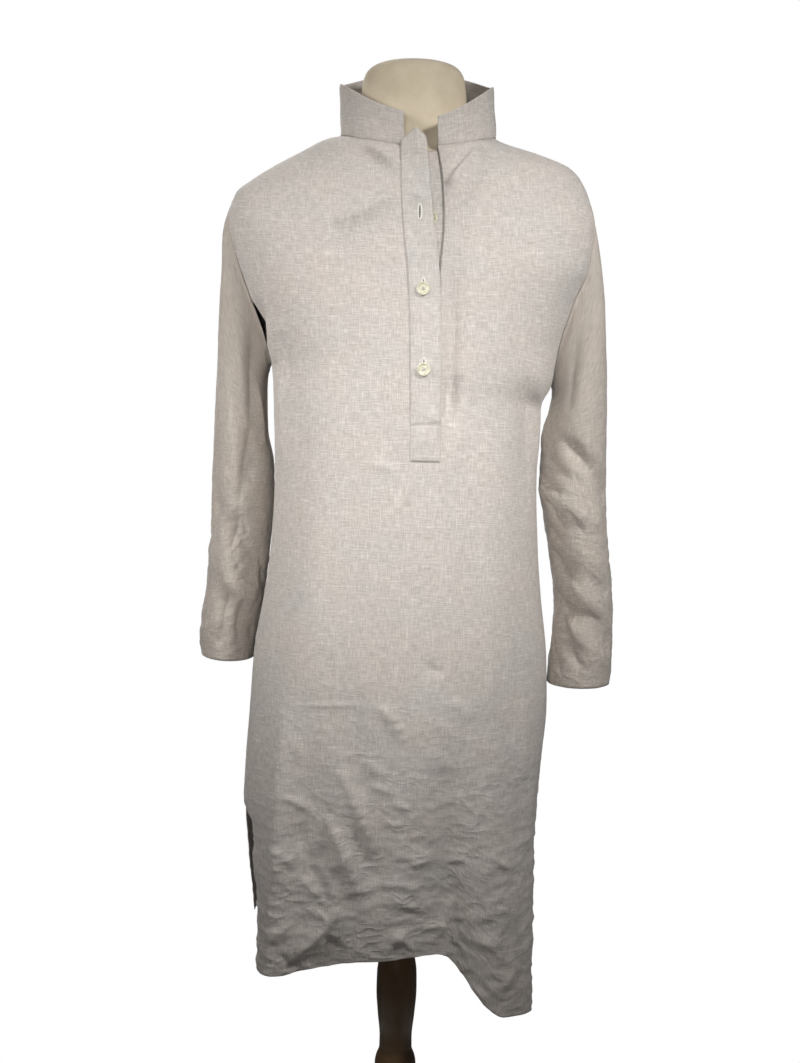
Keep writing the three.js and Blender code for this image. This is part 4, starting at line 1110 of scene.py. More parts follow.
slit_at_neck = {name: float(value) for name, value in opening(NECK).items()}


def neck_point(angle, height):
    """A place on the front or the back, whichever has this angle."""
    in_front = (np.sin(angle) > 0)[..., None]
    return np.where(in_front, front_point(angle, height), back_point(angle, height))


def collar_foot(angle):
    """Where the collar leaves the panels: their top edge, a seam's width further up."""
    at = neck_point(angle, np.full_like(angle, NECK))
    below = neck_point(angle, np.full_like(angle, NECK - 1))
    return at + unit(at - below) * SEAM * 2


def collar_top(angle):
    """The collar's top edge: a superellipse with a squareness of its own in front, its height
    blended by the sine from the sides to the ends and the back, and its ends leaning apart."""
    c, s = np.cos(angle), np.sin(angle)
    in_front = s >= 0
    power = 2 / np.where(in_front, collar_squareness["front"], collar_squareness["back"])
    front_depth, back_depth = (neck_ring[k] + collar_spread[k] for k in ("front", "back"))
    half = (neck_ring["right"] - neck_ring["left"]) / 2
    lean = np.where(c > 0, COLLAR_LEAN["left"], COLLAR_LEAN["right"]) * np.abs(c)
    end_lean = np.where(c > 0, COLLAR_LEAN["left_end"], COLLAR_LEAN["right_end"])
    lean = lean + np.where(in_front, end_lean * s * s, 0)
    x = (neck_ring["left"] + neck_ring["right"]) / 2 - half * signed_power(c, power) + lean
    y = -np.where(in_front, front_depth, back_depth) * signed_power(s, power)
    front_end = np.where(c > 0, collar_height["left_end"], collar_height["right_end"])
    end = np.where(in_front, front_end, collar_height["back"])
    share = np.where(in_front, s * s, -s)
    rise = collar_height["side"] + (end - collar_height["side"]) * share
    return np.stack([x, y, collar_foot(angle)[..., 2] + rise], -1)


collar_from = float(angle_at_x(slit_at_neck["slit_right"], NECK))
collar_to = 2 * np.pi + float(angle_at_x(slit_at_neck["stitched"] + LAP, NECK))
collar_angles = np.linspace(collar_from, collar_to, COLLAR_COLUMNS)
up_collar = np.linspace(0, 1, COLLAR_ROWS)[:, None, None]
foot, top = collar_foot(collar_angles), collar_top(collar_angles)
collar_base = foot + (top - foot) * up_collar
collar_lengths = running_length(collar_base, 1)
collar_up = running_length(collar_base, 0)
from_top = collar_up[-1:] - collar_up
from_ends = np.minimum(collar_lengths, collar_lengths[:, -1:] - collar_lengths)
from_edge = np.minimum(from_top, from_ends)
groove = EDGE_GROOVE * ridge(from_edge - EDGE_STITCH, GROOVE_WIDTH)
rolled = -EDGE_ROLL * ridge(from_edge, EDGE_ROLL_WIDTH) - groove
uneven = COLLAR_SWELL * lattice_noise(collar_lengths, collar_up, COLLAR_SWELL_SIZE, 121)
uneven = uneven + COLLAR_WRINKLES * crumple(collar_lengths, collar_up, 131)
uneven = uneven * smooth_step(collar_up / COLLAR_CLEAR)
collar_out = rolled + uneven + 0.5 * worked(collar_up, 141, collar_lengths)
collar_points = collar_base + surface_normals(collar_base) * collar_out[..., None]
collar_v = (collar_up + COLLAR_FROM_HEM) * MM
collar = grid_object("collar_cloth", collar_points, collar_lengths * MM, collar_v, body_linen)
thicken(collar, COLLAR_CLOTH_MM)
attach(collar, "root")
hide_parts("collar")
foot_row = place_at(collar_up.T, FOOT_STITCH)
top_row = COLLAR_ROWS - 1 - place_at(from_top[::-1].T, EDGE_STITCH)
every_column = np.arange(COLLAR_COLUMNS, dtype=float)
first = np.interp(EDGE_STITCH, collar_lengths[0], every_column)
inner = np.linspace(first, COLLAR_COLUMNS - 1 - first, COLLAR_LINE_POINTS)
collar_lines = [(np.interp(inner, every_column, line), inner) for line in (foot_row, top_row)]
for column in (inner[0], inner[-1]):
    low, high = (np.interp(column, every_column, line) for line in (foot_row, top_row))
    up = np.linspace(low, high, END_LINE_POINTS)
    collar_lines.append((up, np.full(END_LINE_POINTS, column)))
stitching("collar_stitching", collar_points, surface_normals(collar_points), collar_lines)

# The placket: two strips of doubled linen. The upper one laps over from the wearer's right, is
# stitched down its left edge and in a box at its foot, and stands off at the neck, where it is
# undone. The lower one lies behind the slit and carries the buttons.
STRIP_TOP = {"share": (0, 0.58, 1), "rise": (5, 15, 0)}  # its top end stands up in a point
STRIP_TOP_FROM, STRIP_CURL = 1372, 1.5
STRIP_CLOTH_MM, STRIP_WIDTH, LOWER_STRIP_WIDTH = 1.3, 34, 30
STRIP_LIGHT, STRIP_DARK = (0.720, 0.696, 0.676), (0.460, 0.438, 0.412)
SOLID_CLOTH, SOLID_GAP = 1.6, 0.3  # the solids' wall and the gap between them
STRIP_STITCH, STRIP_GROOVE, LOWER_GROOVE, STRIP_GROOVE_WIDTH = 2.2, 0.35, 0.3, 0.8
STRIP_ROLL, STRIP_ROLL_WIDTH = 0.6, 1.2
BOX_FROM, BOX_SLANT, BOX_STEP, BOX_STITCH = 1062, 0.12, 0.7, 2.4
BOX_EDGE, BOX_GROOVE, BOX_GROOVE_PLACE, BOX_GROOVE_WIDTH = 1.6, 0.6, -1.5, 1.2
COCKLE, COCKLE_SIZE, LOWER_COCKLE, LOWER_COCKLE_SIZE = 0.5, 17, 0.25, 15
STRIP_ROWS, STRIP_COLUMNS, LOWER_COLUMNS = 190, 30, 20
STRIP_LINE_POINTS, BOX_LINE_POINTS = 240, 24
LOWER_TOP = NECK - 4
strip_heights = np.linspace(OPENING_FOOT, NECK, STRIP_ROWS)[:, None]


def on_front(x, height, out):
    """A place on the front at this x and height, moved out along the front's normal."""
    angle = angle_at_x(x, height)
    height = np.broadcast_to(height, angle.shape)
    normal = normal_of(front_point, angle, height)
    return front_point(angle, height) + normal * np.asarray(out)[..., None]


def upper_strip_out(share, height):
    """How far the upper strip's outside is from the front: one layer, and the power curve by
    which it stands off towards its free edge."""
    return SOLID_GAP + SOLID_CLOTH + opening(height)["stand_off"] * share**STRIP_CURL


strip_share = np.linspace(0, 1, STRIP_COLUMNS)[None, :]
at = opening(strip_heights)
strip_x = at["stitched"] + (at["free"] - at["stitched"]) * strip_share
strip_out = upper_strip_out(strip_share, strip_heights)
from_stitched, from_free = strip_x - at["stitched"], at["free"] - strip_x
from_foot = strip_heights - OPENING_FOOT
from_side = np.minimum(np.minimum(from_stitched, from_free), from_foot)
strip_out = strip_out - STRIP_ROLL * ridge(from_side, STRIP_ROLL_WIDTH)
box_line = strip_heights - BOX_FROM - BOX_SLANT * from_stitched
for from_edge in (from_stitched, from_free, from_foot):
    strip_out = strip_out - STRIP_GROOVE * ridge(from_edge - STRIP_STITCH, STRIP_GROOVE_WIDTH)
groove = BOX_GROOVE * ridge(box_line - BOX_GROOVE_PLACE, BOX_GROOVE_WIDTH)
tucked = smooth_step(box_line / BOX_EDGE) - 1 - groove
cockled = COCKLE * lattice_noise(strip_x, strip_heights, COCKLE_SIZE, 151)
strip_out = strip_out + BOX_STEP * tucked + cockled * smooth_step(from_foot / 8)
strip_creases = [
    # x1, z1, x2, z2, bow, width below or right, width above or left, height
    (4, 1036, 30, 1046, 2, 4, 5, 0.4),
    (18, 1070, 34, 1078, -1, 4, 5, 0.4),
    (-8, 1334, 14, 1322, 2, 6, 7, 1.2),
    (-4, 1260, 26, 1252, 2, 5, 6, 0.4),
    (2, 1180, 30, 1190, -2, 5, 6, 0.3),
]
strip_out = strip_out + creases_at(strip_creases, strip_x, strip_heights)
strip_points = on_front(strip_x, strip_heights, strip_out)
top_rise = np.interp(strip_share, STRIP_TOP["share"], STRIP_TOP["rise"])
near_top = np.clip((strip_heights - STRIP_TOP_FROM) / (NECK - STRIP_TOP_FROM), 0, 1)
strip_points[..., 2] += top_rise * near_top
strip_along = np.broadcast_to(strip_heights, strip_x.shape)
strip_linen = linen("oatmeal_linen_strip", STRIP_LIGHT, STRIP_DARK)
upper_cloth = (strip_x * MM, strip_along * MM, strip_linen)
upper = grid_object("placket_upper_cloth", strip_points, *upper_cloth)
thicken(upper, STRIP_CLOTH_MM)
across_strip = running_length(strip_points, 1)
from_left = place_at(across_strip, STRIP_STITCH)
from_right = place_at(across_strip[:, -1:] - across_strip[:, ::-1], STRIP_STITCH)
from_right = STRIP_COLUMNS - 1 - from_right
every_row = np.arange(STRIP_ROWS)
slant = BOX_SLANT * STRIP_WIDTH * np.linspace(0, 1, BOX_LINE_POINTS)
foot_row = np.interp(OPENING_FOOT + STRIP_STITCH, strip_heights[:, 0], every_row)
box_rows = np.interp(BOX_FROM + BOX_STITCH + slant, strip_heights[:, 0], every_row)
up_strip = np.linspace(foot_row, STRIP_ROWS - 2, STRIP_LINE_POINTS)
strip_lines = [(up_strip, np.interp(up_strip, every_row, side)) for side in (from_left, from_right)]
for rows in (np.full(BOX_LINE_POINTS, foot_row), box_rows):
    near = int(rows[0])
    strip_lines.append((rows, np.linspace(from_left[near], from_right[near], BOX_LINE_POINTS)))
stitching("placket_stitching", strip_points, surface_normals(strip_points), strip_lines)

lower_heights = strip_heights[strip_heights[:, 0] <= LOWER_TOP]
at = opening(lower_heights)
lower_right = at["slit_right"] + LAP
lower_share = np.linspace(0, 1, LOWER_COLUMNS)[None, :]
lower_x = lower_right - LOWER_STRIP_WIDTH * (1 - lower_share)
from_edge = np.minimum(lower_right - lower_x, lower_x - lower_right + LOWER_STRIP_WIDTH)
groove = LOWER_GROOVE * ridge(from_edge - STRIP_STITCH, STRIP_GROOVE_WIDTH)
cockled = LOWER_COCKLE * lattice_noise(lower_x, lower_heights, LOWER_COCKLE_SIZE, 161)
lower_out = -SOLID_CLOTH - SOLID_GAP - groove + cockled
lower_points = on_front(lower_x, lower_heights, lower_out)
lower_along = np.broadcast_to(lower_heights, lower_x.shape)
lower_cloth = (lower_x * MM, lower_along * MM, body_linen)
lower = grid_object("placket_lower_cloth", lower_points, *lower_cloth)
thicken(lower, STRIP_CLOTH_MM)
for piece, name, size in (
    (upper, "placket_upper", (0.034, 0.38)),
    (lower, "placket_lower", (0.030, 0.38)),
):
    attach(piece, "root")
    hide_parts(name)

# The buttonholes: three upright slits in the upper strip, each whipped round with white thread,
# with a dark tube along each slit as its painted shadow. The top one is empty, and in the other
# two the button has slid to the lower end.
HOLE_LENGTH, HOLE_WIDTH, HOLE_STEPS, HOLE_ROUNDNESS = 19, 3.4, 84, 0.8
BEAD, BEAD_RIBS, BEAD_OUT, BEAD_FLATNESS = 0.85, 0.22, 0.25, 0.7
SLIT_BEAD, SLIT_OUT, SLIT_FLATNESS, SLIT_NARROWER, SLIT_SHORTER = 0.55, 0.12, 0.4, 0.3, 0.9
buttonholes = [(8.5, 1308), (13.7, 1219), (16.0, 1127)]  # x and height of their middles


def tube_round(path, normals, radius, flatness, sides=8):
    """Rings carried along a closed path: round each point, the radius times the cosine along the
    path's side direction and the sine, flattened, along its normal."""
    ahead = unit(np.roll(path, -1, 0) - np.roll(path, 1, 0))
    sideways = np.cross(ahead, normals)
    turn = np.linspace(0, 2 * np.pi, sides, endpoint=False)[None, :, None]
    offset = np.cos(turn) * sideways[:, None] + flatness * np.sin(turn) * normals[:, None]
    return path[:, None] + np.asarray(radius)[:, None, None] * offset


white_thread = thread("white_thread", (0.90, 0.88, 0.84))
# Painted shadow: a near-black thread material for the dark tube laid in each buttonhole's slit.
shadow_in_slit = thread("painted_slit_shadow", (0.16, 0.135, 0.11))


def closed_tubes(name, rings, material):
    """One mesh of closed tubes. rings has an axis each for the tubes, the path, the ring and the
    three coordinates."""
    tubes, steps, sides = rings.shape[:3]
    index = np.arange(tubes * steps * sides).reshape(tubes, steps, sides)
    ahead, beside = np.roll(index, -1, 1), np.roll(index, -1, 2)
    quads = np.stack([index, beside, np.roll(ahead, -1, 2), ahead], -1).reshape(-1, 4)
    piece = mesh_object(name, rings, quads, material)
    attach(piece, "root")


def strip_share_at(x, height):
    """The share of the upper strip's width at which this x lies."""
    at = opening(height)
    return (x - at["stitched"]) / (at["free"] - at["stitched"])


def on_upper_strip(x, height, out=0.0):
    """A place on the upper strip's outside, moved out, and the front's normal there."""
    angle = angle_at_x(x, height)
    normal = normal_of(front_point, angle, height)
    level = upper_strip_out(strip_share_at(x, height), height) + out
    return front_point(angle, height) + normal * level[..., None], normal


around = np.linspace(0, 2 * np.pi, HOLE_STEPS, endpoint=False)
hole_rings, slit_shadow_rings = [], []
for x, height in buttonholes:
    hx = HOLE_WIDTH / 2 * signed_power(np.sin(around), HOLE_ROUNDNESS)
    hz = HOLE_LENGTH / 2 * signed_power(np.cos(around), HOLE_ROUNDNESS)
    path, normals = on_upper_strip(x + hx, height + hz, BEAD_OUT)
    ribbed = BEAD * (1 + BEAD_RIBS * np.cos(around * HOLE_STEPS / 4))
    hole_rings.append(tube_round(path, normals, ribbed, BEAD_FLATNESS))
    # Inside the bead, a dark tube along the slit is painted shadow, not thread.
    slit_x, slit_z = x + hx * SLIT_NARROWER, height + hz * SLIT_SHORTER
    path, normals = on_upper_strip(slit_x, slit_z, SLIT_OUT)
    slit_shadow_rings.append(tube_round(path, normals, np.full(HOLE_STEPS, SLIT_BEAD), SLIT_FLATNESS))
closed_tubes("buttonhole_stitches", np.array(hole_rings), white_thread)
closed_tubes("buttonhole_slit_shadows", np.array(slit_shadow_rings), shadow_in_slit)

# The buttons: cast from ivory-coloured resin, 15 mm across, with a rounded rim, a shallow dish
# and four holes, sewn on with two stitches of white thread. The top one is left undone.
BUTTON_RADIUS, BUTTON_THICKNESS, BUTTON_ROUNDING = 7.5, 2.4, 0.9
DISH_RADIUS, DISH_SLOPE, DISH_DEPTH, AXIS = 6.0, 1.6, 0.75, 0.02
HOLE_RADIUS, HOLE_EDGE, HOLE_OUT, HOLE_DEPTH = 0.97, 0.3, 1.5, 1.3
BUTTON_GAP = 0.15
SEWING_THREAD, THREAD_RISE, THREAD_HALF_HEIGHT, THREAD_HALF_LENGTH = 0.33, 1.35, 0.85, 1.25
buttons = {
    # x, height, how far its back is from the front's surface
    "button_top": (20.4, 1303, -SOLID_CLOTH + BUTTON_GAP),
    "button_middle": (13.7, 1216, SOLID_CLOTH + 2 * SOLID_GAP + BUTTON_GAP),
    "button_low": (16, 1124, SOLID_CLOTH + 2 * SOLID_GAP + BUTTON_GAP),
}


def resin(name):
    """Cast resin like mother-of-pearl: cloudy bands of ivory and pale green under a gloss, with
    fine scratches in its roughness."""
    material, tree, shader = new_material(name, Coat_Weight=0.35, Coat_Roughness=0.12)
    shader.inputs["Subsurface Weight"].default_value = 0.15
    shader.inputs["Subsurface Radius"].default_value = (0.002, 0.002, 0.0015)
    place = node(tree, "TexCoord")
    clouds = node(tree, "TexNoise", Scale=210.0, Detail=3.0, Distortion=1.6)
    ramp = tones(tree, (0.44, 0.43, 0.28), (0.70, 0.68, 0.54), 0.3, 0.62)
    scratches = node(tree, "TexNoise", Scale=1500.0, Detail=2.0)
    rough = node(tree, "MapRange", To_Min=0.22, To_Max=0.42)
    for source in (clouds, scratches):
        link(tree, place, "Object", source, "Vector")
    link(tree, clouds, "Fac", ramp, "Fac")
    link(tree, ramp, "Color", shader, "Base Color")
    link(tree, scratches, "Fac", rough, "Value")
    link(tree, rough, "Result", shader, "Roughness")
    return material


def button_rings(sides=72):
    """The button's surface round its axis, as radius and height: out from the middle of its back,
    round the rim by a superellipse, and in over the rim's crest and the dish. The holes are dents
    by a smooth step of the distance from their middles."""
    flat = BUTTON_RADIUS - BUTTON_ROUNDING
    back = np.stack([np.linspace(AXIS, flat, 6), np.zeros(6)], 1)
    turn = np.linspace(-np.pi / 2, np.pi / 2, 13)[1:-1]
    half = BUTTON_THICKNESS / 2
    rim = np.stack([flat + BUTTON_ROUNDING * np.cos(turn) ** 0.8, half + half * np.sin(turn)], 1)
    front_radii = np.concatenate([np.linspace(flat, 4.6, 7), np.linspace(4.4, AXIS, 30)])
    dish = BUTTON_THICKNESS - DISH_DEPTH * smooth_step((DISH_RADIUS - front_radii) / DISH_SLOPE)
    profile = np.concatenate([back, rim, np.stack([front_radii, dish], 1)])
    turn = np.linspace(0, 2 * np.pi, sides, endpoint=False)
    x, y = profile[:, :1] * np.cos(turn), profile[:, :1] * np.sin(turn)
    z = np.repeat(profile[:, 1:], sides, 1)
    on_top = np.arange(len(profile))[:, None] > len(back) + len(rim)
    for quarter in (0.25, 0.75, 1.25, 1.75):
        hx, hy = HOLE_OUT * np.cos(quarter * np.pi), HOLE_OUT * np.sin(quarter * np.pi)
        away = np.hypot(x - hx, y - hy)
        z = z - on_top * HOLE_DEPTH * smooth_step((HOLE_RADIUS - away) / HOLE_EDGE)
    return np.stack([x, y, z], -1)


def frame_at(x, height, level):
    """The button's seat: its middle on the front, moved out to its level, and its three axes."""
    height = np.array(float(height))
    angle = angle_at_x(x, height)
    normal = normal_of(front_point, angle, height)
    up = unit(np.array([0, 0, 1.0]) - normal * normal[2])
    seat = front_point(angle, height) + normal * level
    return seat, np.stack([np.cross(up, normal), up, normal])


def no_cloth(points):
    """Places in the cloth, all 0, for a round piece that isn't cut from any."""
    return 2 * [np.zeros((points.shape[0], points.shape[1] + 1))]


ivory_resin = resin("ivory_resin")
rings = button_rings()
turn = np.linspace(0, 2 * np.pi, 28, endpoint=False)
loop_up = THREAD_HALF_LENGTH * np.cos(turn)
loop_out = THREAD_RISE + THREAD_HALF_HEIGHT * np.sin(turn)
loop_normals = np.stack([0 * turn + 1.0, 0 * turn, 0 * turn], 1)
stitch_paths = []
for name, (x, height, level) in buttons.items():
    seat, axes = frame_at(x, height, level)
    placed = seat + rings @ axes
    piece = grid_object(f"{name}_resin", placed, *no_cloth(placed), ivory_resin, wrap=True)
    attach(piece, "root")
    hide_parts(name)
    for side in (-1, 1):
        loop = np.stack([0 * turn + side * HOLE_OUT * 0.70, loop_up, loop_out], 1)
        path, radius = seat + loop @ axes, np.full(turn.size, SEWING_THREAD)
        stitch_paths.append(tube_round(path, loop_normals @ axes, radius, 1.0))
closed_tubes("button_threads", np.array(stitch_paths), white_thread)

# The dress form: a padded torso and neck with no head or limbs, covered in cream cotton jersey.
# Its shoulders follow the inside of the dress and carry it, and lower down it draws in.
form_torso = smooth_table(
    ("side", "front", "back"),
    [
        (740, 34, 22, 16),
        (800, 24, 18, 12),
        (860, 18, 16, 10),
        (920, 22, 24, 12),
        (1000, 34, 38, 22),
        (1060, 30, 30, 20),
        (1120, 24, 12, 12),
        (1170, 34, 7, 10),
        (1230, 46, 9, 8),
        (1290, 38, 12, 7),
        (1325, 20, 12, 6),
        (1345, 5, 11, 5),
        (1362, 0.75, 9, 4),
        (1384, 0.75, 7, 4),
    ],
)
NECK_ROWS = 9.6  # the last row's place in the table
neck_rows = smooth_table(
    ("height", "left", "right", "front", "back", "tilt"),
    [
        (0, 1388, -92, 102, -71, 61, 17),
        (1, 1396, -73, 82, -64, 55, 17),
        (2, 1405, -68, 72, -58, 54, 15),
        (3, 1418, -64, 66, -53, 54, 11),
        (4, 1434, -62, 62, -51, 54, 6),
        (5, 1450, -61, 61, -50, 54, 2),
        (6, 1466, -58, 58, -47, 52, 0),
        (7, 1476.5, -49, 50, -39, 45, 0),
        (8, 1482, -33, 34, -25, 31, 0),
        (9, 1483.6, -15, 15, -8, 15, 0),
        (NECK_ROWS, 1483.8, -0.2, 0.2, 2.8, 3.2, 0),
    ],
)
FORM_FOOT, FORM_TOP = 740, 1384
FORM_COLUMNS, TORSO_ROWS, NECK_RINGS = 112, 120, 74
FOOT_SHARES = (0.02, 0.4, 0.75, 0.96)  # the rings that close the form's foot
FORM_GIRTH = 0.95  # in metres


def form_rings():
    """The form's surface. The torso is the tube moved in by the cloth and an inset, blended by the
    cosine and sine squared between the sides, the front and the back. The neck's rings are
    ellipses, tilted by the sine times its size."""
    turn = np.linspace(0, 2 * np.pi, FORM_COLUMNS, endpoint=False)[None, :]
    height = np.linspace(FORM_FOOT, FORM_TOP, TORSO_ROWS)[:, None]
    inset = form_torso(height)
    c, s = np.cos(turn), np.sin(turn)
    middle = np.where(s >= 0, inset["front"], inset["back"])
    depth = SOLID_CLOTH + inset["side"] * c * c + middle * s * s
    full = np.broadcast_to(height, depth.shape)
    angle = np.broadcast_to(turn, depth.shape)
    torso = tube_point(angle, full) - normal_of(tube_point, angle, full) * depth[..., None]
    torso[0, :, 2] = FORM_FOOT
    row = neck_rows(np.linspace(0, NECK_ROWS, NECK_RINGS)[:, None])
    x = (row["left"] + row["right"]) / 2 - (row["right"] - row["left"]) / 2 * c
    y = (row["front"] + row["back"]) / 2 - (row["back"] - row["front"]) / 2 * s
    neck = np.stack([x, y, row["height"] - row["tilt"] * s * np.abs(s)], -1)
    flat = torso[0] * (1, 1, 0) + (0, 0, FORM_FOOT)
    centre = flat.mean(0)
    foot = centre + (flat - centre) * np.array(FOOT_SHARES)[:, None, None]
    return np.concatenate([foot, torso, neck])


def jersey(name):
    """Fine cotton jersey: columns of loops as a wave round the form, cross bands as another up
    it, and soft cloudy tone where it has aged, a little darker and warmer."""
    material, tree, shader = new_material(
        name, Roughness=0.85, Sheen_Weight=0.3, Sheen_Roughness=0.5
    )
    uv = node(tree, "UVMap", uv_map="cloth")
    place = node(tree, "TexCoord")
    ribs = node(tree, "TexWave", wave_type="BANDS", bands_direction="X", Scale=260.0)
    courses = node(tree, "TexWave", wave_type="BANDS", bands_direction="Y", Scale=320.0)
    clouds = node(tree, "TexNoise", Scale=22.0, Detail=4.0, Roughness=0.6)
    loops = node(tree, "Math", operation="MULTIPLY")
    ramp = tones(tree, (0.60, 0.50, 0.36), (0.76, 0.67, 0.51), 0.25, 0.7)
    bump = node(tree, "Bump", Strength=0.45, Distance=0.0003)
    for source in (ribs, courses):
        link(tree, uv, "UV", source, "Vector")
    link(tree, place, "Object", clouds, "Vector")
    link(tree, ribs, "Fac", loops, 0)
    link(tree, courses, "Fac", loops, 1)
    link(tree, clouds, "Fac", ramp, "Fac")
    link(tree, ramp, "Color", shader, "Base Color")
    link(tree, loops, "Value", bump, "Height")
    link(tree, bump, "Normal", shader, "Normal")
    return material


cream_jersey = jersey("cream_jersey")
form_points = form_rings()
form_shape = closed(form_points).shape[:2]
form_across = np.broadcast_to(np.linspace(0, FORM_GIRTH, FORM_COLUMNS + 1), form_shape)
form_along = np.broadcast_to(length_of_rows(form_points)[:, None], form_shape) * MM
form_cloth = (form_across, form_along, cream_jersey)
form = grid_object("dress_form_jersey", form_points, *form_cloth, wrap=True)
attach(form, "root")
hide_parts("dress_form")

# The stand: a post turned from hardwood, stained brown and varnished, under the form and let into
# a round base with a moulded edge.
BASE_RADIUS, BASE_HEIGHT, BASE_EDGE, BASE_RAISED = 200, 26, 6, 60
POST_FOOT, POST_TOP = BASE_HEIGHT + SOLID_GAP, FORM_FOOT - SOLID_GAP
POST_PLAIN_FROM = 430
CLOSED = 0.05  # the radius at which a turned piece is closed on its axis
WOOD_LIGHT, WOOD_DARK = (0.185, 0.108, 0.050), (0.060, 0.034, 0.016)
post_profile = [
    # height, radius
    (POST_FOOT, 34),
    (44, 34),
    (60, 24),
    (110, 19),
    (190, 21),
    (240, 24.6),
    (268, 25.5),
    (277, 24),
    (288, 20.2),
    (302, 20),
    (332, 22.8),
    (362, 24.9),
    (385, 24.5),
    (414, 20),
    (POST_PLAIN_FROM, 17.5),
    (POST_TOP, 17.5),
]


def turned(radii, heights, sides):
    """A profile of radii and heights carried round the upright axis, closed to a point at its
    first and last row."""
    turn = np.linspace(0, 2 * np.pi, sides, endpoint=False)
    radii, heights = np.asarray(radii)[:, None], np.asarray(heights)[:, None]
    x, y = radii * np.cos(turn), radii * np.sin(turn)
    return np.stack([x, y, np.broadcast_to(heights, x.shape)], -1)


def varnished_wood(name, grain):
    """Varnished hardwood: rings of grain from a wave in noise stretched along the grain, and pores
    as finer stretched noise. grain is the stretch along xyz."""
    material, tree, shader = new_material(name, Coat_Weight=0.4, Coat_Roughness=0.25)
    place = node(tree, "TexCoord")
    stretch = node(tree, "Mapping", Scale=grain)
    rings = node(tree, "TexWave", wave_type="RINGS", rings_direction="Z", Scale=9.0)
    rings.inputs["Distortion"].default_value = 6.0
    rings.inputs["Detail"].default_value = 3.0
    pores = node(tree, "TexNoise", Scale=160.0, Detail=4.0, Roughness=0.65)
    tone = node(tree, "Math", operation="MULTIPLY_ADD")
    tone.inputs[1].default_value = 0.45
    ramp = tones(tree, WOOD_DARK, WOOD_LIGHT, 0.3, 0.95)
    rough = node(tree, "MapRange", To_Min=0.3, To_Max=0.5)
    bump = node(tree, "Bump", Strength=0.2, Distance=0.0003)
    link(tree, place, "Object", stretch, "Vector")
    for source in (rings, pores):
        link(tree, stretch, "Vector", source, "Vector")
    link(tree, rings, "Fac", tone, 0)
    link(tree, pores, "Fac", tone, 2)
    link(tree, tone, "Value", ramp, "Fac")
    link(tree, ramp, "Color", shader, "Base Color")
    link(tree, pores, "Fac", rough, "Value")
    link(tree, rough, "Result", shader, "Roughness")
    link(tree, pores, "Fac", bump, "Height")
    link(tree, bump, "Normal", shader, "Normal")
    return material


post_wood = varnished_wood("stained_post_wood", (1, 1, 0.12))
read_profile = smooth_table(("radius",), post_profile)
at_edges = [43.9, 44.1, POST_TOP - 1, POST_TOP]
post_heights = np.unique(np.concatenate([np.linspace(POST_FOOT, POST_PLAIN_FROM, 150), at_edges]))
post_radii = read_profile(post_heights)["radius"]
post_rings = turned([CLOSED, *post_radii, CLOSED], [POST_FOOT, *post_heights, POST_TOP], 64)
post = grid_object("turned_post", post_rings, *no_cloth(post_rings), post_wood, wrap=True)
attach(post, "root")
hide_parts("post")

base_wood = varnished_wood("stained_base_wood", (0.12, 1, 1))
curve = np.linspace(0, np.pi / 2, 9)
low_radii = BASE_RADIUS - BASE_EDGE + BASE_EDGE * np.sin(curve)
low_heights = BASE_EDGE - BASE_EDGE * np.cos(curve)
high_radii = BASE_RADIUS - 2 * BASE_EDGE + 2 * BASE_EDGE * np.cos(curve)
high_heights = BASE_HEIGHT - 2 * BASE_EDGE + BASE_EDGE * np.sin(curve)
crown_radii = [140, 90, BASE_RAISED, 40, CLOSED]
crown_heights = [22, 24.5, BASE_HEIGHT, BASE_HEIGHT, BASE_HEIGHT]
base_radii = [CLOSED, 120, *low_radii, *high_radii, *crown_radii]
base_heights = [0, 0, *low_heights, *high_heights, *crown_heights]
base_rings = turned(base_radii, base_heights, 128)
base = grid_object("turned_base", base_rings, *no_cloth(base_rings), base_wood, wrap=True)
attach(base, "root")
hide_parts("base")

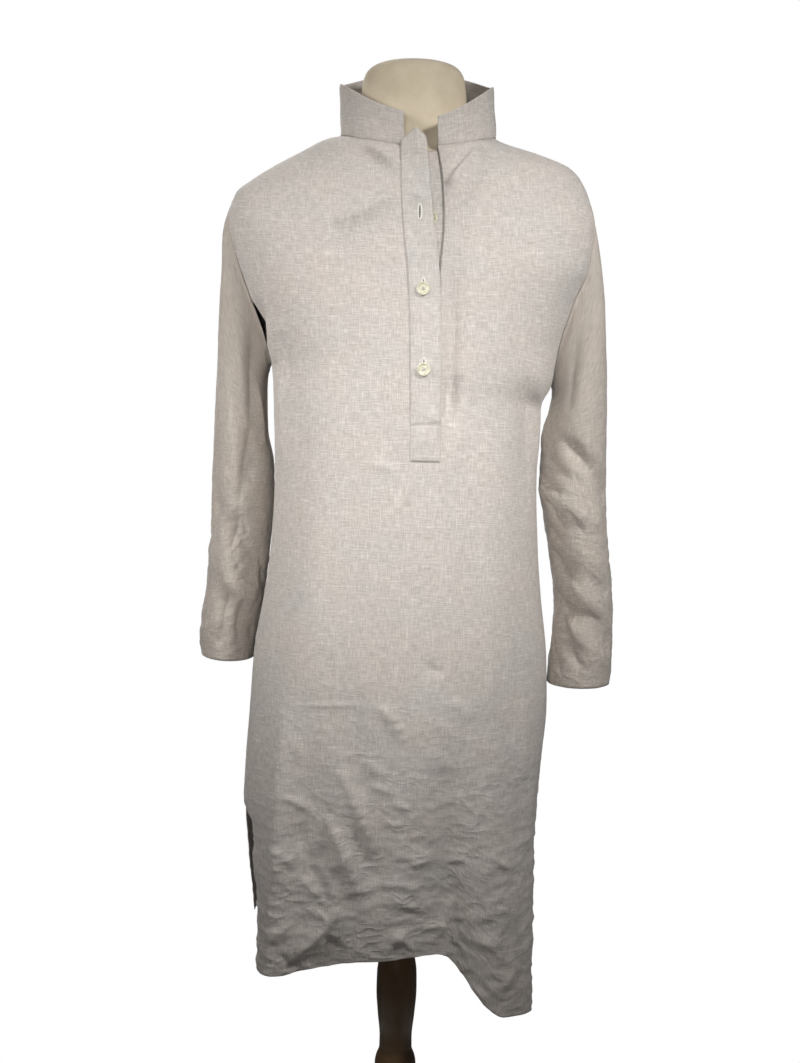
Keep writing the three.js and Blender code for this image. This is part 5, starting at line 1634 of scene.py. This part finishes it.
# The studio: a plain pale floor under the stand and a white surround. A weak narrow beam from the
# front lights the chest and fades down the skirt, two lamps above its left and right shape the
# cloth, and a broad one stands behind.
FLOOR_RADIUS = 0.54
turn = np.linspace(0, 2 * np.pi, 96, endpoint=False)
rim = np.stack([FLOOR_RADIUS * np.cos(turn), FLOOR_RADIUS * np.sin(turn), 0 * turn], 1)
floor_mesh = bpy.data.meshes.new("floor")
floor_mesh.from_pydata(rim.tolist(), [], [tuple(range(len(rim)))])
floor = bpy.data.objects.new("floor", floor_mesh)
bpy.context.scene.collection.objects.link(floor)
floor_paint = new_material("floor_paint", Base_Color=(0.82, 0.82, 0.82, 1), Roughness=0.8)[0]
floor_mesh.materials.append(floor_paint)


def soft_light(name, place, target, size, power, colour, spread):
    """A square area light at a place, turned to face a target, with its beam's width in degrees."""
    data = bpy.data.lights.new(name, "AREA")
    data.size, data.energy, data.color = size, power, colour
    data.spread = math.radians(spread)
    lamp = bpy.data.objects.new(name, data)
    ahead = np.array(target, float) - place
    up = np.array((0, 0, 1.0))
    back_axis = -ahead / np.linalg.norm(ahead)
    right = np.cross(up, back_axis)
    right /= np.linalg.norm(right)
    axes = np.stack([right, np.cross(back_axis, right), back_axis], 1)
    lamp.matrix_world = Matrix.Translation(place) @ Matrix(axes.tolist()).to_4x4()
    bpy.context.scene.collection.objects.link(lamp)


soft_light("front_beam", (-0.3, -2.4, 1.32), (0, 0, 1.0), 0.5, 0.84, (1, 0.985, 0.97), 23)
soft_light("key_light", (1.0, -0.95, 2.1), (0, 0, 0.97), 0.3, 1.95, (1, 0.985, 0.965), 52)
soft_light("side_light", (-1.4, -0.8, 1.75), (0, 0, 1.06), 0.5, 1.95, (1, 0.975, 0.95), 62)
soft_light("back_light", (-0.6, 2.0, 2.2), (0, 0, 1.1), 1.2, 18.0, (1, 0.98, 0.96), 120)
world = bpy.data.worlds.new("studio")
bpy.context.scene.world = world
world.use_nodes = True
surround = world.node_tree.nodes["Background"]
surround.inputs["Color"].default_value = (1, 1, 1, 1)
seen = world.node_tree.nodes.new("ShaderNodeLightPath")
strength = world.node_tree.nodes.new("ShaderNodeMapRange")
strength.inputs["To Min"].default_value, strength.inputs["To Max"].default_value = 0.035, 1.0
world.node_tree.links.new(seen.outputs["Is Camera Ray"], strength.inputs["Value"])
world.node_tree.links.new(strength.outputs["Result"], surround.inputs["Strength"])
bpy.context.scene.view_settings.view_transform = "Standard"
